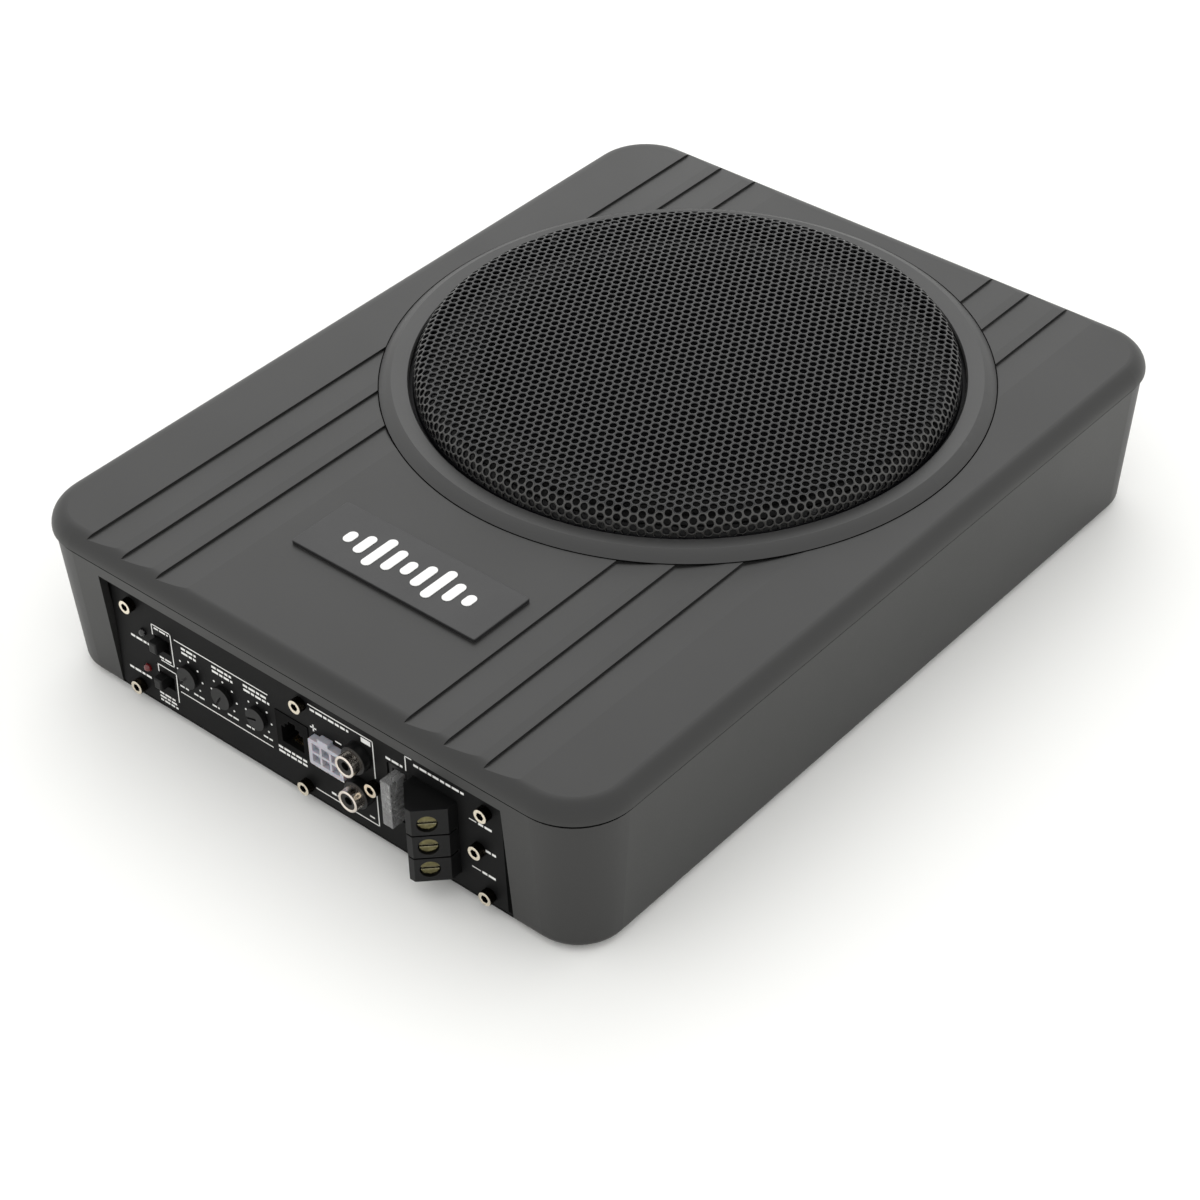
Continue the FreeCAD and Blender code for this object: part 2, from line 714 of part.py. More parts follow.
def driver_screws():
    b = body("driver_screws", "0", "drv_y", "seat_z+seal_t+basket_t")
    s = sketch(b, "XZ")
    points = [
        ("drv_screw_ring-2.9", "0"),
        ("drv_screw_ring-drv_screw_r", "0"),
        ("drv_screw_ring-drv_screw_r", "-9"),
        ("drv_screw_ring", "-9"),
        ("drv_screw_ring", "2"),
        ("drv_screw_ring-1.6", "1.8"),
        ("drv_screw_ring-2.9", "0.7"),
    ]
    outline(s, points)
    line = s.addGeometry(
        Part.LineSegment(
            FreeCAD.Vector(value("drv_screw_ring"), 3, 0),
            FreeCAD.Vector(value("drv_screw_ring"), 6, 0),
        ),
        True,
    )
    pin(s, line, 1, "drv_screw_ring", "3")
    pin(s, line, 2, "drv_screw_ring", "6")
    f = feature(b, "Revolution", s, ReferenceAxis=(s, ["Axis0"]), Angle=360.0)
    around(b, f, 8)
    bind(b, ".Placement.Rotation.Angle", "22.5")
    b.Placement.Rotation.Axis = FreeCAD.Vector(0, 0, 1)


def surround():
    top = "seat_z+seal_t+basket_t"
    points = [
        ("baffle_r-0.6", top),
        ("baffle_r-0.6", f"{top}+rubber_t"),
        ("basket_in", f"{top}+rubber_t"),
        ("roll_in", f"{top}+rubber_t"),
        ("cone_lip", f"{top}+rubber_t"),
        ("cone_lip", top),
        ("roll_in+rubber_t", top),
        ("basket_in-rubber_t", top),
    ]
    roll = "(basket_in-roll_in)/2"
    arcs = {2: (f"{roll}+0.001", 1), 6: (f"{roll}-rubber_t+0.001", -1)}
    turned("surround", points, arcs, y="drv_y")


def cone():
    top = "seat_z+seal_t+basket_t"
    points = [
        ("roll_in-0.5", top),
        ("cone_lip", top),
        ("cone_lip-1.2", f"{top}-1.2"),
        ("former_r", "46"),
        ("former_r", "44.4"),
        ("cone_lip-0.6", f"{top}-2.4"),
        ("roll_in-0.5", f"{top}-1.1"),
    ]
    turned("cone", points, y="drv_y")


def dust_cap():
    slope = "(seat_z+seal_t+basket_t-1.2-46)/(cone_lip-1.2-former_r)"
    outer, inner = f"(46+(33-former_r)*({slope}))", f"(46+(31.5-former_r)*({slope}))"
    points = [("33", outer), ("0", "58"), ("0", "57.2"), ("31.5", inner)]
    bulge = f"(33^2+(58-{outer})^2)/(2*(58-{outer}))"
    hollow = f"(31.5^2+(57.2-{inner})^2)/(2*(57.2-{inner}))"
    turned("dust_cap", points, {0: (bulge, 1), 2: (hollow, -1)}, y="drv_y")


COIL = "(former_r+wind_t)"
BORE = "(former_r+wind_t+coil_gap)"
POLE = "(former_r-former_t-coil_gap)"


def voice_coil():
    low = "back_z+back_t+6.5"
    points = [("former_r-former_t", low), ("former_r", low), ("former_r", "47"), ("former_r-former_t", "47")]
    turned("coil_former", points, y="drv_y")
    points = [("former_r", low), (COIL, low), (COIL, f"{low}+14"), ("former_r", f"{low}+14")]
    turned("coil_winding", points, y="drv_y")


def spider():
    z = "ledge_z+0.3"
    upper = [("52.5", "ledge_z+0.5"), ("45.2", "ledge_z+0.5")]
    lower = [("45.2", "ledge_z"), ("52.5", "ledge_z")]
    waves = [(f"{43.2 - 3.2 * i}", 1.2 if i % 2 else -1.2) for i in range(7)]
    crest = [(u, f"{z}+{w}+0.25") for u, w in waves]
    trough = [(u, f"{z}+{w}-0.25") for u, w in reversed(waves)]
    inner = [("former_r", f"{z}+0.25"), ("former_r", f"{z}-0.25")]
    turned("spider", upper + crest + inner + trough + lower, y="drv_y")


def motor():
    z1 = "back_z+back_t"
    z2 = "back_z+back_t+magnet_t"
    z3 = "back_z+back_t+magnet_t+plate_t"
    points = [(BORE, z2), ("plate_r", z2), ("plate_r", z3), (BORE, z3)]
    turned("top_plate", points, y="drv_y")
    points = [(f"{BORE}+2", z1), ("magnet_r", z1), ("magnet_r", z2), (f"{BORE}+2", z2)]
    b = turned("magnet", points, y="drv_y")
    fillet(b, "1", lambda e: e.Length > 2 * math.pi * value("magnet_r") - 1)
    points = [
        ("5", "back_z"),
        ("plate_r-1", "back_z"),
        ("plate_r", "back_z+1"),
        ("plate_r", z1),
        (POLE, z1),
        (POLE, f"{z3}+1"),
        ("5", f"{z3}+1"),
    ]
    turned("yoke", points, y="drv_y")


def driver_terminals():
    b = body("driver_terminals")
    y1 = "drv_y-47.3"
    facing(b, y1, "Pad", lambda s: rectangle(s, "-8", "ledge_z-steel_t-5", "8", "ledge_z-steel_t"), "2")
    for x in ("-4.6", "4.6"):
        z = "ledge_z-steel_t-2.5"
        tag = lambda s: rectangle(s, f"{x}-1.4", f"{z}-0.4", f"{x}+1.4", f"{z}+0.4")
        facing(b, y1, "Pad", tag, "7")


# ---------------------------------------------------------------- control panel

FACE = "-panel_y"
BACK = "-(panel_y-panel_t)"


def control_panel():
    b = body("control_panel")
    edge = "-panel_hw", "panel_z0", "panel_hw", "panel_z1"
    facing(b, BACK, "Pad", lambda s: rounded(s, *edge, "1.5"), "panel_t")
    s = sketch(b, "XZ", "panel_y")
    circles(s, "ps_r+fit", panel_spots())
    for i in (1, 2, 3):
        circle(s, "shaft_r+0.6", f"knob_x{i}", "knob_z")
    for i in (1, 2):
        z = f"sw_z{i}"
        rectangle(s, "sw_x-sw_w/2", f"{z}-sw_h/2", "sw_x+sw_w/2", f"{z}+sw_h/2")
        circle(s, "led_r+fit", "led_x", f"led_z{i}")
        circle(s, "rca_collar+fit", "rca_x", f"rca_z{i}")
    hole(s, "jack_x", "jack_z", "jack_w", "jack_h", "0.2")
    hole(s, "plug_x", "plug_z", "plug_w", "plug_h", "0.2")
    hole(s, "fuse_x", "fuse_z", "fuse_t+4", "fuse_h+4", "0.2")
    hole(s, "blk_x", "(blk_z0+blk_z1)/2", "2*blk_hw", "blk_z1-blk_z0", "0.2")
    pocket(b, s)


def hole(s, x, z, w, h_, room):
    """Rectangle about (x, z), room larger on every side."""
    u, v = f"(({w})/2+{room})", f"(({h_})/2+{room})"
    rectangle(s, f"{x}-{u}", f"{z}-{v}", f"{x}+{u}", f"{z}+{v}")


def panel_screws():
    b = body("panel_screws")
    facing(b, FACE, "Pad", lambda s: circles(s, "ps_head", panel_spots()), "ps_high")
    facing(b, "-(panel_y-7)", "Pad", lambda s: circles(s, "ps_r", panel_spots()), "7")
    facing(b, f"{FACE}-ps_high", "Pocket", lambda s: circles(s, "1.35", panel_spots()), "1.6")


def controls():
    names = ("low_pass", "bass_boost", "level")
    rest = (229.0, 240.0, 196.0)
    for i, (name, angle) in enumerate(zip(names, rest), start=1):
        pot = body(f"pot_{name}")
        x = f"knob_x{i}"
        draw = lambda s: rectangle(s, f"{x}-4.6", "knob_z-5", f"{x}+4.6", "knob_z+5")
        facing(pot, "fb_y", "Pad", draw, "panel_y-panel_t+fb_y")
        bore = lambda s: circle(s, "shaft_r+shaft_fit", x, "knob_z")
        facing(pot, BACK, "Pocket", bore, "5")
        knob = body(f"knob_{name}", x, "-panel_y", "knob_z")
        facing(knob, "-knob_gap", "Pad", lambda s: circle(s, "knob_r"), "knob_high")
        facing(knob, "panel_t+4", "Pad", lambda s: circle(s, "shaft_r"), "panel_t+4+knob_gap")
        pointer(knob, angle)


def pointer(knob, angle):
    """Slot from the middle of the knob towards its mark."""
    front = "-knob_gap-knob_high"
    s = sketch(knob, "XZ", f"-({front})")
    c, d = f"cos({angle})", f"sin({angle})"
    points = []
    for along, side in (("-0.6", "-0.45"), ("knob_r+1", "-0.45"), ("knob_r+1", "0.45"), ("-0.6", "0.45")):
        points.append((f"({along})*{c}-({side})*{d}", f"({along})*{d}+({side})*{c}"))
    outline(s, points)
    pocket(knob, s, "0.8")


def switches():
    for i, name in ((1, "upper"), (2, "lower")):
        z = f"sw_z{i}"
        case = body(f"switch_{name}")
        draw = lambda s: rectangle(s, "sw_x-5.4", f"{z}-4", "sw_x+5.4", f"{z}+4")
        facing(case, "fb_y", "Pad", draw, "panel_y-panel_t+fb_y")
        slot = lambda s: rectangle(s, "sw_x-sw_w/2", f"{z}-sw_h/2", "sw_x+sw_w/2", f"{z}+sw_h/2")
        facing(case, BACK, "Pocket", slot, "5")
        slider = body(f"slider_{name}", "sw_x+nub_rest", "-panel_y", z)
        box = "-nub_w/2", "-nub_h/2", "nub_w/2", "nub_h/2"
        facing(slider, "panel_t+4.5", "Pad", lambda s: rectangle(s, *box), "panel_t+4.5+nub_out")
        fillet(slider, "0.7", at_front("nub_out"))


def lamps():
    for i, name in ((1, "power"), (2, "protect")):
        b = body(f"lamp_{name}", "led_x", "-panel_y", f"led_z{i}")
        facing(b, "5", "Pad", lambda s: circle(s, "led_r"), "5.2")
        facing(b, "5", "Pad", lambda s: circle(s, "led_r+0.35"), "1.2")
        DOC.recompute()
        s = sketch(b, "XZ")
        for x in ("-0.8", "0.8"):
            circle(s, "0.25", x, "0")
        pad(b, s, "panel_y+fb_y", Reversed=True)
        s = sketch(b, "YZ")
        outline(s, [("-0.2", "0"), ("-0.2", "led_r"), ("-0.2-led_r", "0")], {1: ("led_r", 1)})
        line = s.addGeometry(
            Part.LineSegment(FreeCAD.Vector(-3, 0, 0), FreeCAD.Vector(-6, 0, 0)), True
        )
        pin(s, line, 1, "-3", "0")
        pin(s, line, 2, "-6", "0")
        feature(b, "Revolution", s, ReferenceAxis=(s, ["Axis0"]), Angle=360.0)


def remote_jack():
    b = body("remote_jack")
    box = "jack_x-jack_w/2", "jack_z-jack_h/2", "jack_x+jack_w/2", "jack_z+jack_h/2"
    facing(b, "fb_y", "Pad", lambda s: rectangle(s, *box), "panel_y+0.3+fb_y")
    s = sketch(b, "XZ", "panel_y+0.3")
    steps = [
        ("-5.1", "-5.2"),
        ("5.1", "-5.2"),
        ("5.1", "1.8"),
        ("3.3", "1.8"),
        ("3.3", "3.6"),
        ("1.7", "3.6"),
        ("1.7", "5.2"),
        ("-1.7", "5.2"),
        ("-1.7", "3.6"),
        ("-3.3", "3.6"),
        ("-3.3", "1.8"),
        ("-5.1", "1.8"),
    ]
    outline(s, [(f"jack_x+({u})", f"jack_z+({v})") for u, v in steps])
    pocket(b, s, "8.6")
    contacts = body("jack_contacts")
    s = sketch(contacts, "XZ", "panel_y-8.3")
    for i in range(6):
        x = f"jack_x+({-2.55 + 1.02 * i})"
        rectangle(s, f"{x}-0.2", "jack_z-5.2", f"{x}+0.2", "jack_z-4.4")
    pad(contacts, s, "6")


def high_level_connector():
    b = body("high_level_connector")
    front = "-panel_y-plug_out"
    box = "plug_x-plug_w/2", "plug_z-plug_h/2", "plug_x+plug_w/2", "plug_z+plug_h/2"
    facing(b, "fb_y", "Pad", lambda s: rounded(s, *box, "0.8"), "panel_y+plug_out+fb_y")
    tab = lambda s: rectangle(s, "plug_x-3.4", "plug_z+plug_h/2-0.2", "plug_x+1.4", "plug_z+plug_h/2+1.7")
    facing(b, "-panel_y-0.1", "Pad", tab, "plug_out-0.1")
    s = sketch(b, "XZ", f"-({front})")
    for col in (-1, 0, 1):
        for row in (-0.5, 0.5):
            u, v = f"plug_x+({col})*pitch", f"plug_z+({row})*pitch"
            rectangle(s, f"{u}-way", f"{v}-way", f"{u}+way", f"{v}+way")
    pocket(b, s, "9.5")
    pins = body("connector_pins")
    s = sketch(pins, "XZ", "panel_y-6.9")
    for col in (-1, 0, 1):
        for row in (-0.5, 0.5):
            u, v = f"plug_x+({col})*pitch", f"plug_z+({row})*pitch"
            rectangle(s, f"{u}-0.5", f"{v}-0.5", f"{u}+0.5", f"{v}+0.5")
    pad(pins, s, "6")


def phono_sockets():
    b = body("rca_block")
    box = "rca_x-5.5", "12", "35.6", "41"
    facing(b, "fb_y", "Pad", lambda s: rectangle(s, *box), "panel_y-panel_t+fb_y")
    spots = [("rca_x", "rca_z1"), ("rca_x", "rca_z2")]
    facing(b, BACK, "Pad", lambda s: circles(s, "rca_collar", spots), "panel_t+rca_collar_out")
    front = "-panel_y-rca_collar_out"
    root = "rca_r-0.5"
    facing(b, front, "Pocket", lambda s: circles(s, root, spots), "rca_collar_out+3")
    facing(b, "-panel_y+3", "Pad", lambda s: circles(s, "rca_bore", spots), "rca_out+2.4")
    facing(b, "-panel_y-rca_out", "Pocket", lambda s: circles(s, "1.65", spots), "10")
    screw = lambda s: circle(s, "ps_r+fit*0.5", "rs_x", "rs_z")
    facing(b, BACK, "Pocket", screw, "6")
    shells = body("rca_shells")
    s = sketch(shells, "XZ", "panel_y-3")
    circles(s, root, spots)
    circles(s, "rca_bore", spots)
    pad(shells, s, "rca_collar_out+3")
    s = sketch(shells, "XZ", "panel_y+rca_collar_out")
    circles(s, "rca_r", spots)
    circles(s, "rca_bore", spots)
    pad(shells, s, "rca_out-rca_collar_out")
    fillet(shells, "0.35", at_front("panel_y+rca_out"))


def fuse_and_holder():
    b = body("fuse_holder")
    w, h_ = "(fuse_t/2+2)", "(fuse_h/2+2)"
    box = f"fuse_x-{w}", f"fuse_z-{h_}", f"fuse_x+{w}", f"fuse_z+{h_}"
    facing(b, "-134", "Pad", lambda s: rectangle(s, *box), "panel_y-0.5-134")
    u, v = "(fuse_t/2+slot_gap)", "(fuse_h/2+slot_gap)"
    box2 = f"fuse_x-{u}", f"fuse_z-{v}", f"fuse_x+{u}", f"fuse_z+{v}"
    deep = "fuse_long-fuse_out-0.5+0.3"
    facing(b, "-panel_y+0.5", "Pocket", lambda s: rectangle(s, *box2), deep)
    s = sketch(b, "XZ", f"panel_y-0.5-({deep})")
    blades(s, "0.15")
    pocket(b, s, "blade_long+1")
    f = body("fuse")
    front = "-panel_y-fuse_out"
    box3 = "fuse_x-fuse_t/2", "fuse_z-fuse_h/2", "fuse_x+fuse_t/2", "fuse_z+fuse_h/2"
    facing(f, f"{front}+fuse_long", "Pad", lambda s: rectangle(s, *box3), "fuse_long")
    facing(f, f"{front}+fuse_long+blade_long", "Pad", lambda s: blades(s, "0"), "blade_long+0.2")


def blades(s, room):
    for sign in ("-", "+"):
        z = f"fuse_z{sign}blade_z"
        t_, w = f"(blade_t/2+{room})", f"(blade_w/2+{room})"
        rectangle(s, f"fuse_x-{t_}", f"{z}-{w}", f"fuse_x+{t_}", f"{z}+{w}")


def terminal_block():
    b = body("terminal_block", "blk_x", "-panel_y")
    s = sketch(b, "XY", "blk_z0")
    nose = "-(blk_side+blk_hw-blk_nose)"
    points = [
        ("-blk_hw", "8"),
        ("-blk_hw", "-blk_side"),
        ("-blk_nose", nose),
        ("blk_nose", nose),
        ("blk_hw", "-blk_side"),
        ("blk_hw", "8"),
    ]
    outline(s, points)
    pad(b, s, "blk_z1-blk_z0")
    for i in range(3):
        z = f"cell_z+{i}*cell"
        bored(b, z, 1, "0", "t_well", "t_well_deep")
        bored(b, z, 1, "0", "foot_hole", "wire_at+0.5")
        bored(b, z, -1, "wire_at-face_mid", "wire_r", "wire_deep")
    for i in (1, 2):
        part_line(b, f"cell_z+({i}-0.5)*cell-0.35")


def part_line(b, z):
    """Shallow slot round the outside of the block between two cells."""
    s = sketch(b, "XY", z)
    d, k = "0.9", "0.37"
    nose = f"-(blk_side+blk_hw-blk_nose-{d})"
    points = [
        ("-blk_hw-2", "-0.4"),
        ("-blk_hw-2", "-blk_side-blk_hw-2"),
        ("blk_hw+2", "-blk_side-blk_hw-2"),
        ("blk_hw+2", "-0.4"),
        (f"blk_hw-{d}", "-0.4"),
        (f"blk_hw-{d}", f"-blk_side+{k}"),
        (f"blk_nose-{k}", nose),
        (f"-blk_nose+{k}", nose),
        (f"-blk_hw+{d}", f"-blk_side+{k}"),
        (f"-blk_hw+{d}", "-0.4"),
    ]
    outline(s, points)
    pocket(b, s, "0.7", Reversed=True)


def on_face(sign, along):
    """Point of a slanted face, along from its middle towards the panel; sign +1 is the screw side."""
    return f"{sign}*(blk_hw/2+({along})*sqrt(0.5))", f"-blk_side-blk_hw/2+({along})*sqrt(0.5)"


def bored(b, z, sign, along, r, deep):
    """Round hole bored square to a slanted face."""
    s = sketch(b, "XZ")
    u, v = on_face(sign, along)
    turn = FreeCAD.Rotation(FreeCAD.Vector(0, 1, 0), 45 * sign)
    s.AttachmentOffset = FreeCAD.Placement(FreeCAD.Vector(0, 0, 0), turn)
    bind(s, ".AttachmentOffset.Base.x", u)
    bind(s, ".AttachmentOffset.Base.y", z)
    bind(s, ".AttachmentOffset.Base.z", f"-({v})")
    circle(s, r)
    pocket(b, s, deep)


def slanted(label, i):
    """A piece on terminal i's screw axis, its own -Y pointing out of the block."""
    b = body(label)
    u, v = on_face(1, "0")
    b.Placement.Rotation = FreeCAD.Rotation(FreeCAD.Vector(0, 0, 1), 45)
    bind(b, ".Placement.Base.x", f"blk_x+{u}")
    bind(b, ".Placement.Base.y", f"-panel_y+({v})")
    bind(b, ".Placement.Base.z", f"cell_z+{i}*cell")
    return b


def terminal_screws():
    for i, name in enumerate(("low", "middle", "high")):
        b = slanted(f"terminal_screw_{name}", i)
        tip = "wire_at-wire_r-0.2-clamp_t"
        facing(b, "t_set+t_head_h", "Pad", lambda s: circle(s, "t_head"), "t_head_h")
        facing(b, tip, "Pad", lambda s: circle(s, "t_shank"), f"{tip}-t_set-t_head_h")
        box = "-t_head-1", "-0.5", "t_head+1", "0.5"
        facing(b, "t_set", "Pocket", lambda s: rectangle(s, *box), "0.9")
        b = slanted(f"wire_clamp_{name}", i)
        foot = lambda s: circle(s, "foot_hole-0.2")
        facing(b, "wire_at-wire_r-0.2", "Pad", foot, "clamp_t")


# ---------------------------------------------------------------- amplifier


def boards():
    b = body("main_board")
    s = sketch(b, "XY", "pcb_z")
    rectangle(s, "-pcb_hx", "pcb_y0", "pcb_hx", "pcb_y1")
    pad(b, s, "pcb_t")
    s = sketch(b, "XY", "pcb_z")
    circles(s, "1.6", spots_four("so_x", "so_y1", "so_x", "so_y2"))
    pocket(b, s, Reversed=True)
    b = body("board_screws")
    s = sketch(b, "XY", "pcb_z+pcb_t")
    circles(s, "2.6", spots_four("so_x", "so_y1", "so_x", "so_y2"))
    pad(b, s, "1.8")
    s = sketch(b, "XY", "pcb_z+pcb_t-5")
    circles(s, "1.25", spots_four("so_x", "so_y1", "so_x", "so_y2"))
    pad(b, s, "5")
    block("front_board", "-80", "36.5", "fb_y", "fb_y+pcb_t", "pcb_z+pcb_t", "44")


def on_board():
    top = "pcb_z+pcb_t"
    b = body("toroid", "-48", "-100", top)
    s = sketch(b, "XZ")
    rounded(s, "7", "0", "20", "15", "3.5")
    spin(b, s)
    b = body("filter_capacitors", "0", "0", top)
    s = sketch(b, "XY")
    for x, y in (("8", "-118"), ("8", "-94"), ("30", "-94")):
        circle(s, "9", x, y)
    pad(b, s, "28")
    fillet(b, "1.2", at_height("28"))
    b = body("heat_sink", "0", "0", top)
    s = sketch(b, "XY")
    points = [("56", "-128"), ("59", "-128")]
    for i in range(7):
        y0 = -124.0 + 8.0 * i
        points.extend([("59", f"{y0}"), ("71", f"{y0}"), ("71", f"{y0 + 2}"), ("59", f"{y0 + 2}")])
    points.extend([("59", "-70"), ("56", "-70")])
    outline(s, points)
    pad(b, s, "26")
    b = body("power_transistors", "0", "0", top)
    s = sketch(b, "XY")
    for i in range(4):
        y0 = -122.0 + 13.0 * i
        rectangle(s, "51.4", f"{y0}", "56", f"{y0 + 10}")
    pad(b, s, "19")


def wires():
    """Two leads from the board to the driver's tags."""
    pair = []
    for x, tag in ((-3.0, -4.6), (3.0, 4.6)):
        z0 = value("pcb_z+pcb_t")
        z1 = value("ledge_z-steel_t-2.5")
        y1 = value("drv_y-47.3-7.2")
        spots = [(x, -68, z0), (x, -68, z0 + 10), (x * 1.3, -40, z1 + 2), (tag, y1 - 8, z1), (tag, y1, z1)]
        path = Part.BSplineCurve()
        path.interpolate([FreeCAD.Vector(*p) for p in spots])
        wire = Part.Wire(path.toShape())
        edge = Part.Circle(FreeCAD.Vector(*spots[0]), FreeCAD.Vector(0, 0, 1), 0.9).toShape()
        pair.append(wire.makePipeShell([Part.Wire(edge)], True, False))
    f = DOC.addObject("Part::Feature", "speaker_wires")
    f.Label = "speaker_wires"
    f.Shape = Part.makeCompound(pair)
    NODES.append(f)


def export():
    DOC.recompute()
    wrong = []
    for obj in DOC.Objects:
        if "Invalid" in obj.State or "Error" in obj.State:
            wrong.append(f"{obj.Name}: {obj.State}")
    for node in NODES:
        if node.Shape.isNull() or not node.Shape.isValid():
            wrong.append(f"{node.Label}: bad shape")
    if wrong:
        raise RuntimeError("; ".join(wrong))
    os.makedirs("parts", exist_ok=True)
    for node in NODES:
        node.Shape.exportStep(f"parts/{node.Label}.step")
        box = node.Shape.BoundBox
        low = f"{box.XMin:.1f} {box.YMin:.1f} {box.ZMin:.1f}"
        print(f"{node.Label}: {len(node.Shape.Solids)} solids, from {low}, volume {node.Shape.Volume:.0f}")


fill_sheet()
top_cover()
lower_tub()
feet()
case_screws()
badge_plate()
grille_ring()
grille()
driver_seal()
basket()
driver_screws()
surround()
cone()
dust_cap()
voice_coil()
spider()
motor()
driver_terminals()
control_panel()
panel_screws()
controls()
switches()
lamps()
remote_jack()
high_level_connector()
phono_sockets()
fuse_and_holder()
terminal_block()
terminal_screws()
boards()
on_board()
wires()
export()
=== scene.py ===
import math

import bmesh
import bpy
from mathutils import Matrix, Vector


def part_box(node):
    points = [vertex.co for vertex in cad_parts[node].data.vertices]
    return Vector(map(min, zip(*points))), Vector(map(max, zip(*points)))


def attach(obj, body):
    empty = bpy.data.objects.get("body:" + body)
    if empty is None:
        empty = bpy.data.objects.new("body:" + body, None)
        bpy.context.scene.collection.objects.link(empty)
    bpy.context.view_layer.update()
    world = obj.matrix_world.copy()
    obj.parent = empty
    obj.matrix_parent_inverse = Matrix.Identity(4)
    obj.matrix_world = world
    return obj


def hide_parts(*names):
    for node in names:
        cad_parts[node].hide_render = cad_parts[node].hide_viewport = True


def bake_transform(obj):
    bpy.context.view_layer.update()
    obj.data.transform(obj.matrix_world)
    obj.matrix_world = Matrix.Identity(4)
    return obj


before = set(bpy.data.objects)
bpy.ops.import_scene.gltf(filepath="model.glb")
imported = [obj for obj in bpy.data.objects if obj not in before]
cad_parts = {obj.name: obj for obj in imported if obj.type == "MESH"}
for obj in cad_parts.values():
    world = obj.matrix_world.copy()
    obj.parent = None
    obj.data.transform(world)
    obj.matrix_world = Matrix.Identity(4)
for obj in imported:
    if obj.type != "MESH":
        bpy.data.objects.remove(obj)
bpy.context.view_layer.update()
MM = 0.001

# ---------------------------------------------------------------- lower tub
# The tub is injection moulded in black ABS with drafted walls and a fine spark-eroded skin.
# It carries the control panel in a recess at its front and the screw posts inside.


class Wire:
    """The value on one socket. Sums and products of wires add their own Math nodes."""

    def __init__(self, recipe, socket):
        self.recipe = recipe
        self.socket = socket

    def maths(self, operation, first, second):
        return self.recipe.add("ShaderNodeMath", {"operation": operation}, {0: first, 1: second})

    def __add__(self, other):
        return self.maths("ADD", self, other)

    def __radd__(self, other):
        return self.maths("ADD", other, self)

    def __sub__(self, other):
        return self.maths("SUBTRACT", self, other)

    def __rsub__(self, other):
        return self.maths("SUBTRACT", other, self)

    def __mul__(self, other):
        return self.maths("MULTIPLY", self, other)

    def __rmul__(self, other):
        return self.maths("MULTIPLY", other, self)

    def __truediv__(self, other):
        return self.maths("DIVIDE", self, other)

    def __gt__(self, other):
        return self.maths("GREATER_THAN", self, other)

    def clamped(self):
        return self.maths("MINIMUM", self.maths("MAXIMUM", self, 0.0), 1.0)


class Recipe:
    """A node tree being built. add() makes one node: first its settings, then its sockets."""

    def __init__(self, tree):
        self.tree = tree

    def add(self, kind, settings=None, sockets=None, out=0):
        node = self.tree.nodes.new(kind)
        for name, value in (settings or {}).items():
            setattr(node, name, value)
        for key, value in (sockets or {}).items():
            if isinstance(value, Wire):
                self.tree.links.new(value.socket, node.inputs[key])
            else:
                node.inputs[key].default_value = value
        return Wire(self, node.outputs[out]) if len(node.outputs) else None

    def mixed(self, share, first, second):
        """The first colour, going over to the second as share goes from 0 to 1."""
        sockets = {0: share, 6: first, 7: second}
        return self.add("ShaderNodeMix", {"data_type": "RGBA"}, sockets, 2)


def shade(colour, share):
    """The colour made lighter or darker by a share of itself."""
    return (*(min(1.0, c * (1 + share)) for c in colour), 1.0)


